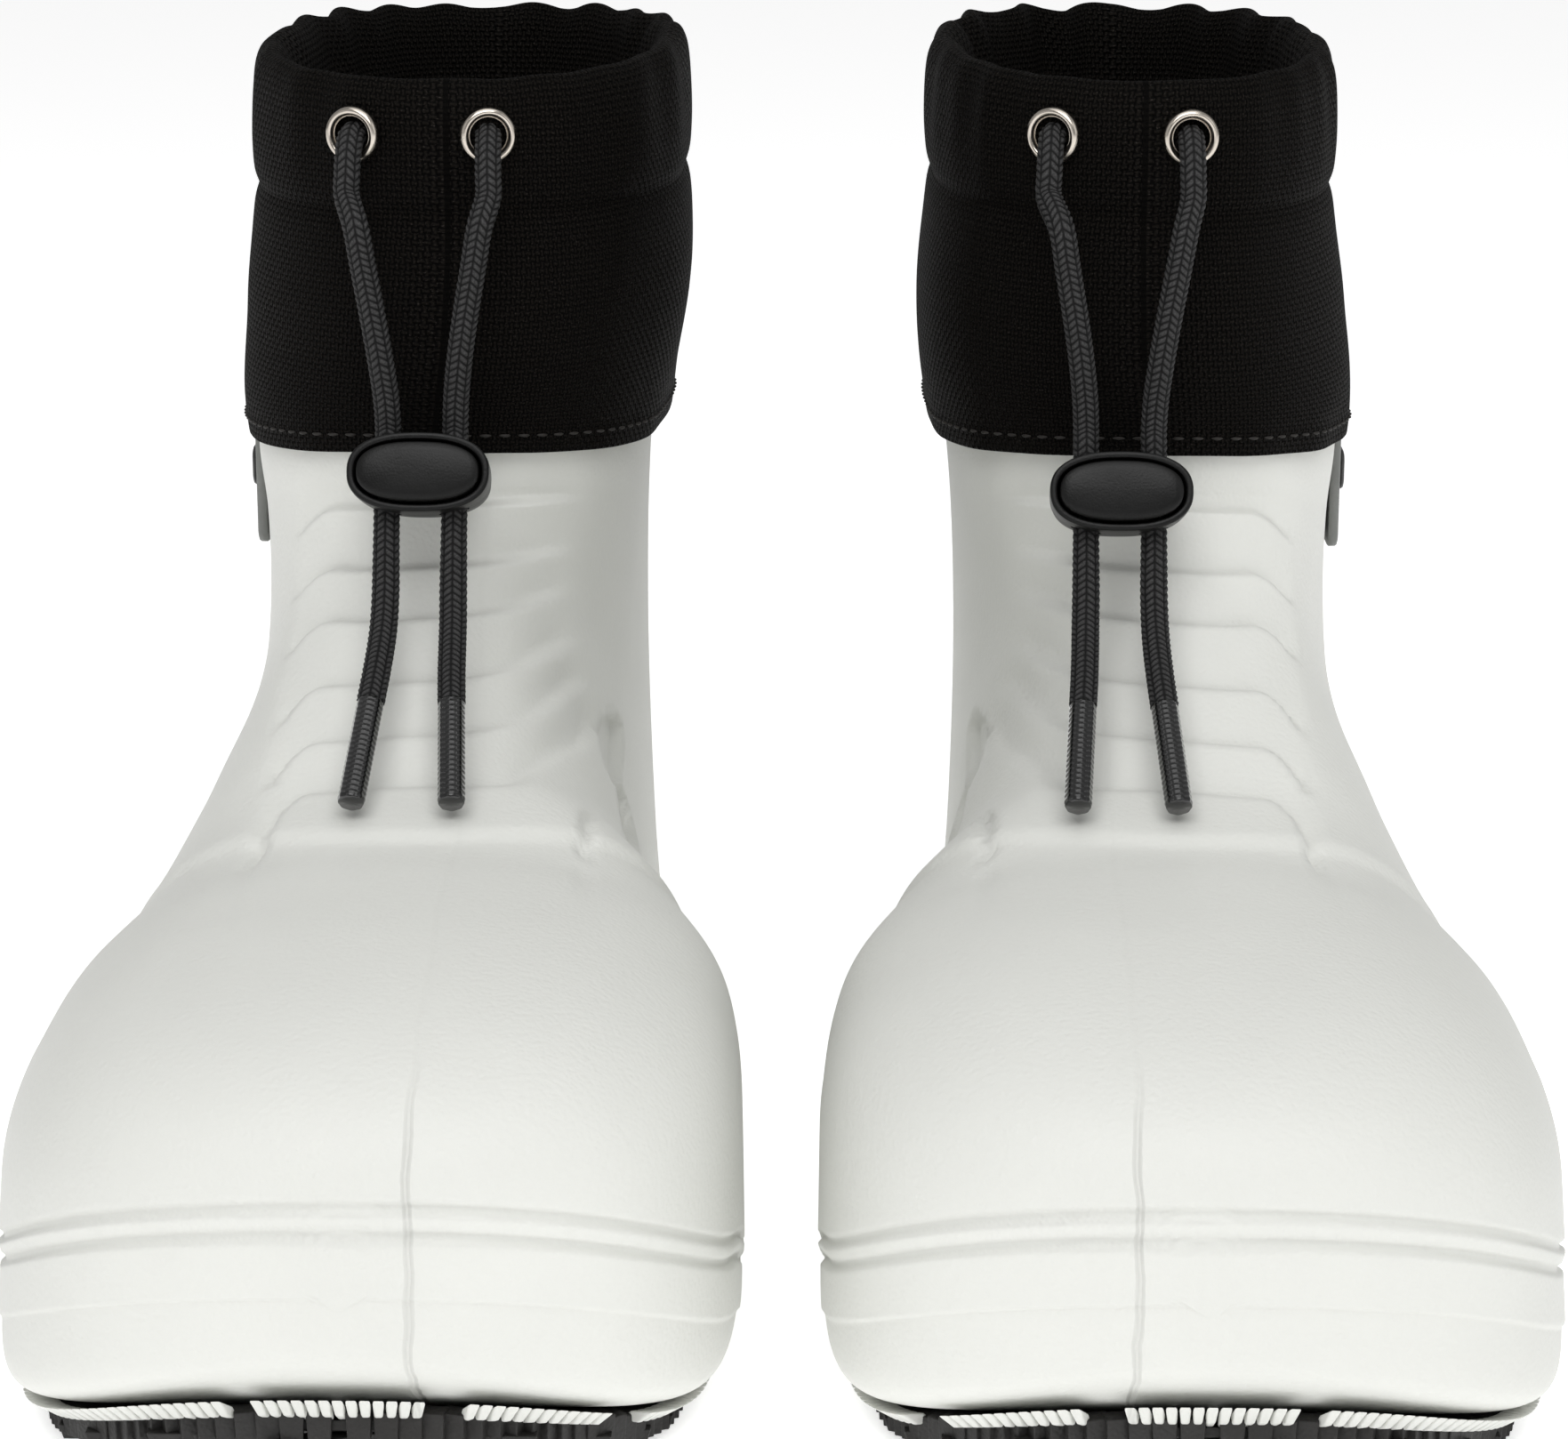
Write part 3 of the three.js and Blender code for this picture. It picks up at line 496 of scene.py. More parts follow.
def instep_sections(count):
    """Sections from the toe cap's end, fanning round the ankle, to the shell's top edge."""
    run, rise, back, up, upper, lower, share = INSTEP_STATIONS.T
    top_y = CAP_END_Y + (SHAFT_FRONT_Y - CAP_END_Y) * run
    top_z = TOE_TOP_HEIGHT + (SHAFT_HEIGHT - TOE_TOP_HEIGHT) * rise
    bottom_y = HEEL_Y + back
    bottom_z = SHELL_BOTTOM + sole_rise(bottom_y) + up
    x = FOOT_X - SHAFT_INWARD * share
    round_top = np.full(len(run), TOP_ROUNDNESS)
    climb = np.sqrt(np.maximum(0, up - 0.001) / (SHAFT_HEIGHT - CUFF_BASE))
    round_bottom = SOLE_SQUARENESS + (TOP_ROUNDNESS - SOLE_SQUARENESS) * climb
    rows = np.stack([top_y, top_z, bottom_y, bottom_z, upper, lower, x, round_top, round_bottom], 1)
    cuff = [cuff_section(SHAFT_HEIGHT - CUFF_BASE, 0.55), cuff_section(SHAFT_HEIGHT, 0.75)]
    return smooth_through(np.vstack([rows, cuff]), count)


def crowded_turns(count):
    """Angles round a section, closer together low on both sides, where the fine ribs run."""
    fine = np.linspace(0, 2 * math.pi, 4001)
    from_top = np.minimum(fine, 2 * math.pi - fine)
    density = 1 + 2.6 * bump(from_top, 1.95, 0.45)
    reached = np.concatenate([[0], np.cumsum((density[1:] + density[:-1]) / 2)])
    return np.interp(np.linspace(0, reached[-1], count, endpoint=False), reached, fine)


def section_surface(sections, around):
    """Points of superellipse rings. At each angle the radius is what makes |x|^n + |y|^n equal 1, with one
    power n over the instep and a higher one towards the sole, and more over the toe's inner side."""
    turn = crowded_turns(around)[None, :]
    top_y, top_z, low_y, low_z, upper, lower, x, round_top, round_bottom = [c[:, None] for c in sections.T]
    lopsided = TOE_LOPSIDED * ramp(-low_y, -0.05, 0.03)
    power = np.where(np.cos(turn) > 0, round_top - lopsided * np.sin(turn), round_bottom)
    radius = (np.abs(np.cos(turn)) ** power + np.abs(np.sin(turn)) ** power) ** (-1 / power)
    share = (radius * np.cos(turn) + 1) / 2
    across = radius * np.sin(turn)
    half = lower + (upper - lower) * share
    y = low_y + (top_y - low_y) * share
    z = low_z + (top_z - low_z) * share
    leaning = TOE_LEAN * ramp(-low_y, -0.05, 0.03) * share
    return np.stack([x - leaning + across * half, y + 0 * across, z + 0 * across], -1)


print("toe's tip at y %.3f m, shaft from y %.3f to %.3f m" % (TOE_Y, SHAFT_FRONT_Y, SHAFT_BACK_Y))


# %% [markdown]
# ## Steps moulded into the shell
# Each moulded feature is a height field over the shell: a formula of where a point lies. Their sum moves
# the surface along its normals. The instep carries overlapping scales, the toe a raised cap with a lip,
# the rim of the sole two fine ribs and a line, and the inner side three stacked lenses.

# %% Shell relief
SCALE_HEIGHTS = [0.1330, 0.1225, 0.1145, 0.1055, 0.0985, 0.0925]
SCALE_HALF_WIDTH = 0.030
SCALE_DEPTH = 0.0025
LENS_DEPTH = 0.0022
LENSES = [(-0.002, 0.060, 0.016), (0.014, 0.070, 0.018), (0.030, 0.080, 0.020)]
RIB_DEPTH = 0.0010
RIB_HEIGHTS = [(0.0550, 0.0320), (0.0500, 0.0280)]
LINE_HEIGHTS = (0.0390, 0.0180)


def along_rim(y, at_tip, at_side):
    """Height of a line that runs round the toe: high at the tip, falling back to the sides."""
    side_y = TOE_Y + TOE_SPRING_START
    share = np.clip((side_y - y) / TOE_SPRING_START, -0.6, 1)
    return at_side + (at_tip - at_side) * signed_power(share, 1.25)


def instep_scales(p):
    """Each scale swells slowly towards its lower edge and drops off there, like a roof tile."""
    across = (p[..., 0] - (FOOT_X - 0.0060)) / SCALE_HALF_WIDTH
    height = p[..., 2] + 0.003 * across**2 + 0.07 * np.maximum(0, np.abs(across) - 0.7) ** 2
    on_top = ramp(-p[..., 1], -0.030, -0.012)
    field = np.zeros(p.shape[:-1])
    for i, edge in enumerate(SCALE_HEIGHTS):
        length = 0.011 if i == 0 else SCALE_HEIGHTS[i - 1] - edge
        within = np.clip((height - edge) / length, 0, 1)
        lip = ramp(height, edge - 0.0007, edge + 0.0007) * (1 - within) ** 1.2
        ends = 1 - ramp(np.abs(across), 0.96, 1.04)
        field += SCALE_DEPTH * lip * ends * (height < edge + length)
    return field * on_top


def toe_lip(p):
    """The toe cap stands proud of the instep along a curved lip, and the swelling fades forwards."""
    across = (p[..., 0] - (FOOT_X - 0.0015)) / 0.041
    lip_y = -0.0535 + 0.0125 * across**2
    behind = p[..., 1] - lip_y
    rise = 1 - ramp(behind, -0.0025, 0.0015)
    fade = 1 - ramp(-behind, 0.004, 0.045)
    high = ramp(p[..., 2], 0.060, 0.078)
    return 0.0014 * rise * fade * high


def rim_ribs(p):
    """Two narrow ribs and a shallow line round the toe, above the sole."""
    field = np.zeros(p.shape[:-1])
    for tip, side in RIB_HEIGHTS:
        away = np.abs(p[..., 2] - along_rim(p[..., 1], tip, side))
        field += RIB_DEPTH * (1 - ramp(away, 0.0004, 0.0013))
    line = along_rim(p[..., 1], *LINE_HEIGHTS)
    field += 0.0006 * (1 - ramp(p[..., 2], line - 0.0004, line + 0.0004))
    shelf = along_rim(p[..., 1], RIB_HEIGHTS[1][0] + 0.0025, RIB_HEIGHTS[1][1] + 0.002)
    field += 0.0005 * (1 - ramp(p[..., 2], shelf - 0.001, shelf + 0.001))
    reach = 1 - ramp(p[..., 1], 0.05, 0.09)
    return field * reach


def side_lenses(p):
    """Three stacked lens-shaped plates on the inner side of the waist."""
    field = np.zeros(p.shape[:-1])
    inner = 1 - ramp(p[..., 0], FOOT_X - 0.02, FOOT_X - 0.01)
    for centre_y, centre_z, size in LENSES:
        along = (p[..., 1] - centre_y) / size
        upright = (p[..., 2] - centre_z) / 0.0065
        field += LENS_DEPTH * inner * (1 - ramp(along**2 + np.abs(upright) ** 1.6, 0.75, 1.0))
    return field


def foam_relief(p):
    return instep_scales(p) + toe_lip(p) + rim_ribs(p) + side_lenses(p)


print("relief: %d scales, %d ribs, %d lenses" % (len(SCALE_HEIGHTS), len(RIB_HEIGHTS), len(LENSES)))

# %% The shell's mesh
def build_shell(boot):
    """The outer skin from the toe's tip to the top edge, then a strip down inside."""
    around = 340
    toe = toe_sections(110)
    rest = instep_sections(165)
    points = section_surface(np.vstack([toe, rest[1:]]), around)
    normals = -grid_normals(points)
    points = points + normals * foam_relief(points)[..., None]
    inside = points[-1:] + (np.array([SHAFT_X, SHAFT_Y, SHAFT_HEIGHT]) - points[-1:]) * 0.12
    deeper = inside - [0, 0, 0.02]
    points = np.concatenate([points, inside, deeper])
    rows, columns = points.shape[:2]
    flat, faces = close_ends(points, grid_faces(rows, columns, wrap_columns=True), rows, columns, last=False)
    shell = face_outward(mesh_object(boot["name"] + "_foam_shell", flat, faces, boot["mirror"]))
    return dress(shell, boot, FOAM, "shell")


SHELLS = {boot["name"]: build_shell(boot) for boot in BOOTS}
print("shell faces:", len(SHELLS["left"].data.polygons))

# %% [markdown]
# ## Teeth under the toe
# The foam's lower edge ends in a row of small upright teeth where it meets the rubber. They all have one
# form, so each is eight corners worked out from its place along the edge, and one list of faces serves all.

# %% Teeth
TOOTH_PITCH = 0.0023
TOOTH_HEIGHT = 0.0017
NOTCHES = (-0.036, -0.006, 0.030)


def toe_outline(turn, inset):
    """The toe's plan, a superellipse: turn 0 at the outer side, 90 degrees at the tip, 180 at the inner."""
    x = FOOT_X + (FOREFOOT_WIDTH / 2 - inset) * signed_power(np.cos(turn), 0.8)
    y = CAP_END_Y - (CAP_LENGTH - inset) * signed_power(np.sin(turn), 0.8)
    return x, y


def edge_line(turn, inset, height):
    """A line round the toe's lower edge: its plan drawn in by inset and lifted by height over the sole."""
    x, y = toe_outline(turn, inset)
    return np.stack([x, y, SHELL_BOTTOM + sole_rise(y) + height], -1)


def tooth_places():
    """Even places along the toe's edge, less those near a notch, and the angles to look them up by."""
    fine = np.linspace(math.radians(3), math.radians(177), 2000)
    line = edge_line(fine, 0.003, 0)
    run = run_length(line)
    centres = (np.arange(int(run[-1] / TOOTH_PITCH)) + 0.5) * TOOTH_PITCH
    beside = line[np.searchsorted(run, centres), 0] - PARTING_X
    nearest = np.min([np.abs(beside - notch) for notch in NOTCHES], axis=0)
    return centres[nearest > 0.003], run, fine


def build_teeth(boot):
    """Tapered blocks between two lines round the toe, narrower at the foot than at the top."""
    centres, run, fine = tooth_places()
    half = TOOTH_PITCH * 0.44
    corners = []
    for inset, height, wide in ((0.0082, -0.0003, 0.75), (0.0050, TOOTH_HEIGHT, 1.0)):
        for depth in (0.0, 0.0045):
            for side in (-1, 1):
                turn = np.interp(centres + side * half * wide, run, fine)
                corners.append(edge_line(turn, inset + depth, height))
    one = [(0, 1, 3, 2), (4, 6, 7, 5), (0, 4, 5, 1), (2, 3, 7, 6), (0, 2, 6, 4), (1, 5, 7, 3)]
    faces = [tuple(8 * i + k for k in face) for i in range(len(centres)) for face in one]
    name = boot["name"] + "_foam_teeth"
    teeth = face_outward(mesh_object(name, np.stack(corners, 1), faces, boot["mirror"], smooth=False))
    soften(teeth, 0.0003)
    return dress(teeth, boot, FOAM)


for boot in BOOTS:
    teeth = build_teeth(boot)
print("teeth on a boot:", len(teeth.data.polygons) // 6)

# %% [markdown]
# ## Rubber material and outsole
# The outsole is black rubber: a plate under the foam with blocks that wrap round its edge. The blocks are
# one row along the outline and cross bars between, each a small rounded box.

# %% Rubber material
def make_rubber():
    material, tree, shader = new_material("black_rubber", Roughness=0.62, Specular_IOR_Level=0.45)
    toned(tree, shader, (0.013, 0.012, 0.011), 60.0, 0.3, (0.3, 0.7, 0.5, 0.75))
    grained(tree, shader, 1500.0, 0.6, 0.4, 0.0003)
    return material


RUBBER = make_rubber()
print("rubber shader nodes:", len(RUBBER.node_tree.nodes))

# %% Sole outline
SOLE_INSET = 0.0105
HEEL_ROUND = 0.034


def sole_half_width(y, inset):
    """Half the sole's width at y, from the shell's stations, rounded off at the toe and heel."""
    bottom_y = HEEL_Y + INSTEP_STATIONS[:8, 2]
    width = np.interp(y, bottom_y, INSTEP_STATIONS[:8, 5]) - inset
    toe_share = np.clip((CAP_END_Y - y) / (CAP_LENGTH - inset), 0, 1)
    heel_share = np.clip((y - (HEEL_Y - HEEL_ROUND)) / (HEEL_ROUND - inset), 0, 1)
    return width * (1 - toe_share**2.5) ** 0.4 * (1 - heel_share**2.5) ** 0.4


def sole_middle(y):
    """The sole's middle line leans inwards from the forefoot to the heel."""
    return FOOT_X - SHAFT_INWARD * np.clip((y - CAP_END_Y) / (HEEL_Y - CAP_END_Y), 0, 1)


print("sole is %.3f m wide at the heel's start" % (2 * sole_half_width(HEEL_Y - HEEL_ROUND, SOLE_INSET)))

# %% Plate, blocks and ribs
BLOCK_FACES = [(3, 2, 1, 0), (4, 5, 6, 7), (0, 1, 5, 4), (1, 2, 6, 5), (2, 3, 7, 6), (3, 0, 4, 7)]
BLOCK_PITCH = 0.0085
BLOCK_HEIGHT = 0.0027
BLOCK_LIFT = 0.0014
EDGE_BLOCK_LENGTH = 0.012
CROSS_BLOCK_LENGTH = 0.016
CROSS_BLOCK_TURN = 0.35
FRONT_RIBS = 46
FRONT_RIB_SIZE = (0.0034, 0.0042, 0.0052)


def block(centre, size, turn, lift):
    """A box that narrows a little downwards, turned about Z and lifted: its eight corners and its faces."""
    corners = np.array([[x, y, z] for z in (-1, 1) for x, y in ((-1, -1), (1, -1), (1, 1), (-1, 1))], float)
    corners[:4, :2] *= 0.88
    corners = corners * np.array(size) / 2
    c, s = math.cos(turn), math.sin(turn)
    turned = corners @ np.array([[c, s, 0], [-s, c, 0], [0, 0, 1]])
    return turned + np.array([centre[0], centre[1], lift]), BLOCK_FACES


def sole_plate(inset, steps=60):
    """A thin plate whose rows are crowded at the toe and heel, where its outline turns fastest."""
    turn = np.linspace(0, math.pi, steps)
    y = TOE_Y + inset + 0.001 + (FOOT_LENGTH - 2 * inset - 0.006) * (1 - np.cos(turn)) / 2
    half = sole_half_width(y, inset) + 0.0005
    corners = [(1, 0.0036), (1, 0.0018), (-1, 0.0018), (-1, 0.0036)]
    lines = [np.stack([sole_middle(y) + side * half, y, sole_rise(y) + z], -1) for side, z in corners]
    return close_ends(np.stack(lines, 1), grid_faces(steps, 4, wrap_columns=True), steps, 4)


def block_row(row_y, inset):
    """One block on each edge of the sole, and slanting cross blocks between them."""
    width, x = float(sole_half_width(row_y, inset)), float(sole_middle(row_y))
    lift = float(sole_rise(row_y)) + BLOCK_LIFT
    edge_size = (EDGE_BLOCK_LENGTH, BLOCK_PITCH * 0.72, BLOCK_HEIGHT)
    blocks = [block((x + side * (width - 0.005), row_y), edge_size, 0.0, lift) for side in (-1, 1)]
    inner = width - 0.015
    count = max(1, int(inner * 2 / CROSS_BLOCK_LENGTH))
    size = (2 * inner / count * 0.8, BLOCK_PITCH * 0.5, BLOCK_HEIGHT)
    for k in range(count):
        way = 1 if k % 2 else -1
        centre = (x - inner + (k + 0.5) * 2 * inner / count, row_y + way * 0.25 * BLOCK_PITCH)
        blocks.append(block(centre, size, way * CROSS_BLOCK_TURN, lift))
    return blocks


def front_ribs(inset):
    """Upright ribs round the front, where the rubber wraps up behind the foam's teeth."""
    ribs = []
    for turn in np.linspace(math.radians(12), math.radians(168), FRONT_RIBS):
        x, y = (float(v) for v in toe_outline(turn, inset + 0.0008))
        ribs.append(block((x, y), FRONT_RIB_SIZE, turn, float(sole_rise(y)) + 0.0030))
    return ribs


def joined(pieces):
    """Many pieces' points and faces as one list of each."""
    points, faces, count = [], [], 0
    for more, corners in pieces:
        points.append(more)
        faces += [tuple(i + count for i in face) for face in corners]
        count += len(more)
    return np.vstack(points), faces


def build_outsole(boot):
    pieces = [sole_plate(SOLE_INSET)]
    for row_y in np.arange(TOE_Y + 0.016, HEEL_Y - 0.016, BLOCK_PITCH):
        pieces += block_row(row_y, SOLE_INSET)
    points, faces = joined(pieces + front_ribs(SOLE_INSET))
    sole = mesh_object(boot["name"] + "_rubber_sole", points, faces, boot["mirror"], smooth=False)
    soften(sole, 0.0004)
    return dress(sole, boot, RUBBER, "outsole")


for boot in BOOTS:
    sole = build_outsole(boot)
print("sole faces:", len(sole.data.polygons))

# %% [markdown]
# ## Woven fabric
# The collar is a coarse black plain weave. The weave is drawn in cloth coordinates, metres along and across
# the sheet, so that threads follow the folds. Where a thread passes over its neighbour its colour is painted
# lighter, a painted highlight, and stray fibres are painted as glints.

# %% Weave group and fabric material
def make_weave_group():
    """Height = over-and-under threads: a rounded thread across times its turn in a checkerboard."""
    ins = [("Cloth", "vector", None), ("Pitch", "float", 0.0009)]
    tree, start, end = new_group("plain_weave", ins, [("Height", "float"), ("Over", "float")])
    split = node(tree, "ShaderNodeSeparateXYZ", {0: start.outputs["Cloth"]}).outputs
    turns = [math_node(tree, "DIVIDE", axis, start.outputs["Pitch"]) for axis in split[:2]]
    waves = [math_node(tree, "SINE", times(tree, t, 2 * math.pi)) for t in turns]
    rounds = [math_node(tree, "COSINE", times(tree, t, math.pi)) for t in turns]
    ribs = [math_node(tree, "ABSOLUTE", r) for r in rounds]
    checks = [math_node(tree, "FLOOR", math_node(tree, "ADD", t, 0.5)) for t in turns]
    odd = math_node(tree, "FLOORED_MODULO", math_node(tree, "ADD", *checks), 2.0)
    across = times(tree, ribs[0], odd)
    along = times(tree, ribs[1], math_node(tree, "SUBTRACT", 1.0, odd))
    ripple = times(tree, times(tree, *waves), 0.15)
    height = math_node(tree, "ADD", math_node(tree, "ADD", across, along), ripple)
    fill(tree, end, {"Height": height, "Over": odd})
    return tree


WEAVE = make_weave_group()
# Painted highlight: how many times lighter the raised threads are painted
PAINTED_THREAD_HIGHLIGHT = 7.0
# Painted glints: the colour painted on stray fibres
PAINTED_GLINT_COLOUR = (0.060, 0.052, 0.046, 1)
WEAVE_DEPTH = 0.0007


def make_fabric(name, colour, pitch):
    """Threads painted lighter where they stand high (painted highlight), with stray fibres painted as glints
    that are also a little glossier.
    """
    material, tree, shader = new_material(name, Roughness=0.8, Specular_IOR_Level=0.05)
    cloth = node(tree, "ShaderNodeUVMap", uv_map="cloth").outputs[0]
    weave = use_group(tree, WEAVE, {"Cloth": cloth, "Pitch": pitch}).outputs["Height"]
    tone = use_group(tree, DRIFT, {"Colour": (*colour, 1), "Size": 40.0, "Amount": 0.25}).outputs["Colour"]
    # painted highlight: raised threads take this lighter colour in place of light falling on them
    lit = (*(PAINTED_THREAD_HIGHLIGHT * c for c in colour), 1)
    thread = blend_colour(tree, spread(tree, weave, 0.5, 1.0, 0.0, 0.8), tone, lit)
    fibre = noise_at(tree, cloth, 2600.0, 3.0)
    # painted glints: stray fibres take a lighter colour in place of light catching them
    painted_glint = blend_colour(tree, spread(tree, fibre, 0.6, 0.74, 0.0, 0.6), thread, PAINTED_GLINT_COLOUR)
    tree.links.new(painted_glint, shader.inputs["Base Color"])
    tree.links.new(spread(tree, fibre, 0.3, 0.7, 0.85, 0.55), shader.inputs["Roughness"])
    feed_bump(tree, shader, math_node(tree, "ADD", weave, times(tree, fibre, 0.8)), 1.0, WEAVE_DEPTH)
    return material


FABRIC = make_fabric("woven_fabric", (0.0013, 0.0011, 0.0009), 0.0011)
STITCH = new_material("thread", Roughness=0.6, Base_Color=(0.02, 0.018, 0.016, 1), Specular_IOR_Level=0.3)[0]
print("fabric shader nodes:", len(FABRIC.node_tree.nodes))

# %% [markdown]
# ## The collar
# The collar is a tube of fabric sewn to the shell: loose between hem and seam, doubled over the drawcord at
# the top. Pulling the cord gathers it, so the rim puckers in upright folds that are deepest at the back.
# Its profile is carried round an oval. Folds move it in and out by sums of waves that fade below the rim.

# %% Collar surface
FABRIC_THICK = 0.0015
SHEET_WALL = 0.0009
HEM_HEIGHT = 0.139
HEM_RISE = 0.0045
SEAM_Z = COLLAR_TOP - CASING_HEIGHT
CASING_OUT = 0.0032
CHANNEL = 0.0066
EYELET_Z = COLLAR_TOP - 0.0095
EYELET_HALF_SPACING = 0.0122


def oval(turn, reach, z, boot=None):
    """A point of the shaft's oval grown by reach; turn 0 is at the front and grows outwards. With a boot
    given, the oval slides inwards and narrows with height, as that boot's collar does."""
    power = 2 / TOP_ROUNDNESS
    centre, half = SHAFT_X + 0 * z, SHAFT_HALF_WIDTH + 0 * z
    if boot:
        centre = centre + 0.0013 * (1 - ramp(z, HEM_HEIGHT, 0.165))
        centre = centre + boot["rim_shift"] * ramp(z, 0.145, 0.185)
        half = half - boot["rim_slim"] * ramp(z, 0.148, 0.185)
    x = centre + (half + reach) * signed_power(np.sin(turn), power)
    y = SHAFT_Y - (SHAFT_HALF_DEPTH + reach) * signed_power(np.cos(turn), power)
    return np.stack([x, y, z + 0 * x], -1)


def fold_waves(turn, seed, count, low, high):
    """A sum of waves round the collar, whole numbers of them, with seeded sizes and starts."""
    chance = np.random.default_rng(seed)
    total = np.zeros_like(turn)
    for number in chance.integers(low, high, count):
        total += chance.uniform(0.5, 1.0) * np.sin(number * turn + chance.uniform(0, 2 * math.pi))
    return total / math.sqrt(count)


def gathered(turn, z, seed):
    """How far the fabric stands off its oval: tight folds at the rim, slow slack below the seam."""
    from_front = np.angle(np.exp(1j * turn))
    at_back = ramp(-np.cos(turn), -0.35, 0.5)
    near_front = bump(from_front, 0, 0.30)
    rim = ramp(z, SEAM_Z - 0.004, COLLAR_TOP)
    tight = fold_waves(turn, seed, 6, 14, 26)
    slow = fold_waves(turn, seed + 20, 4, 3, 9)
    middle = bump(z, 0.166, 0.018)
    hem = 1 - ramp(z, HEM_HEIGHT, 0.152)
    seam = bump(z, SEAM_Z, 0.0022)
    pucker = np.abs(np.sin(6.5 * from_front))
    field = 0.0017 * tight * rim * (0.3 + 0.7 * at_back)
    field += 0.0007 * slow * middle + 0.0004 * fold_waves(turn, seed + 40, 4, 8, 20) * hem
    field -= 0.0006 * seam
    field -= 0.0018 * near_front * bump(z, EYELET_Z - 0.008, 0.012) * pucker
    return field


def collar_profile(count):
    """The collar's path: up the outside from the hem, over the rolled rim, down inside to the seam."""
    leg_in = CASING_OUT - 2 * FABRIC_THICK - CHANNEL
    wall = [[0.0021, 0.139], [0.0024, 0.140], [0.0033, 0.148]]
    wall += [[0.0040, 0.160], [0.0044, 0.170], [0.0040, 0.180]]
    casing = [[0.0033, SEAM_Z - 0.001], [0.0032, SEAM_Z], [0.0036, SEAM_Z + 0.003], [0.0038, SEAM_Z + 0.010]]
    rim = [[0.0032, -0.0055], [0.0021, -0.0016], [0.0004, -0.0001], [-0.0016, -0.0012], [-0.0040, -0.0055]]
    rim = [[reach, COLLAR_TOP + below] for reach, below in rim]
    inside = [[leg_in, SEAM_Z + 0.009], [leg_in + 0.0004, SEAM_Z + 0.001], [leg_in + 0.0012, SEAM_Z - 0.002]]
    return smooth_through(np.array(wall + casing + rim + inside), count)


def hem_line(turn):
    """How far the hem rides up: the square of the cosine, over the front half only."""
    return HEM_RISE * np.maximum(0, np.cos(turn)) ** 2


def near_hem(z):
    """1 at the hem, fading out above it."""
    return 1 - ramp(z, HEM_HEIGHT, 0.160)


def rim_height(turn, z, inner_leg, seed):
    """The rim stands a little higher at the sides, and ripples up and down, most of all at the back."""
    ripple = 0.0008 * fold_waves(turn, seed + 60, 5, 10, 20) * ramp(z, COLLAR_TOP - 0.010, COLLAR_TOP)
    sides = 0.0014 * ramp(z, COLLAR_TOP - 0.012, COLLAR_TOP) * np.abs(np.sin(turn)) ** 1.5
    return sides + np.where(inner_leg, 0.6, 1.0) * ripple * (0.2 + 0.8 * ramp(-np.cos(turn), -0.3, 0.5))


def build_collar(boot):
    rows, columns = ((130, 620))
    profile = collar_profile(rows)
    turn = full_turn(columns)[None, :]
    reach = profile[:, :1] + 0 * turn
    z = profile[:, 1:] + 0 * turn
    inner_leg = np.arange(rows)[:, None] > rows * 0.72
    field = gathered(turn, z, boot["seed"])
    points = oval(turn, reach + field, z + hem_line(turn) * near_hem(z), boot)
    points[..., 2] += rim_height(turn, z, inner_leg, boot["seed"])
    around = math.pi * (SHAFT_HALF_WIDTH + SHAFT_HALF_DEPTH) * 1.08
    length = run_length(profile)
    uv = np.stack([turn / (2 * math.pi) * around + 0 * z, length[:, None] + 0 * z], -1)
    faces = grid_faces(rows, columns, wrap_columns=True)
    collar = mesh_object(boot["name"] + "_woven_collar", points, faces, boot["mirror"], uv=uv)
    thicken(collar, SHEET_WALL)
    return dress(collar, boot, FABRIC, "collar")


COLLARS = {boot["name"]: build_collar(boot) for boot in BOOTS}
print("collar faces:", len(COLLARS["left"].data.polygons))

# %% Lining
def build_lining(boot):
    """The fabric inside the shaft, hanging in soft folds from the seam down to the bootie."""
    rows, columns = ((60, 400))
    turn = full_turn(columns)[None, :]
    height = np.linspace(SEAM_Z + 0.001, 0.120, rows)[:, None]
    share = (SEAM_Z - height) / CASING_HEIGHT
    folds = fold_waves(turn, boot["seed"] + 5, 6, 9, 24)
    reach = -0.0066 - 0.0012 * share + 0.0016 * folds * bump(share, 0.4, 0.9)
    points = oval(turn, reach, height + 0 * turn, boot)
    uv = np.stack([turn / (2 * math.pi) * 0.31 + 0 * height, height + 0 * turn], -1)
    faces = grid_faces(rows, columns, wrap_columns=True)
    lining = mesh_object(boot["name"] + "_lining_cloth", points, faces, boot["mirror"], uv=uv)
    thicken(lining, SHEET_WALL)
    return dress(lining, boot, FABRIC, "collar_lining")


LININGS = {boot["name"]: build_lining(boot) for boot in BOOTS}
print("lining faces:", len(LININGS["left"].data.polygons))

# %% [markdown]
# ## The drawcord's route
# A 5 mm cord leaves each eyelet, drops over its rim and hangs down the front. The lock grips both legs, and
# below it they lie forward on the instep, ending in glossy tips.

# %% Cord route
CORD_DIAMETER = 0.005
AGLET_LENGTH = 0.024
AGLET_DIAMETER = 0.0048
PIECE_GAP = 0.0004
LOCK_TILT = math.radians(20)
LOCK_FORWARD = 0.015
LOCK_Z = 0.1414

# Down one leg: sideways and forwards from the collar's front middle, and height
LEG_POINTS = np.array([
    [11.3, -11.7, 187.0], [10.0, -12.3, 179.5], [8.6, -12.6, 171.5], [7.3, -12.5, 163.0],
    [6.45, -11.6, 155.5], [6.2, -11.7, 150.0], [6.2, -13.0, 146.9], [6.2, -15.0, 141.4],
    [6.2, -17.4, 134.8], [6.2, -19.8, 128.3], [6.2, -22.2, 121.6], [6.3, -24.6, 117.0],
    [6.45, -28.2, 113.6], [6.8, -34.6, 109.5], [7.3, -41.0, 105.4],
]) / 1000
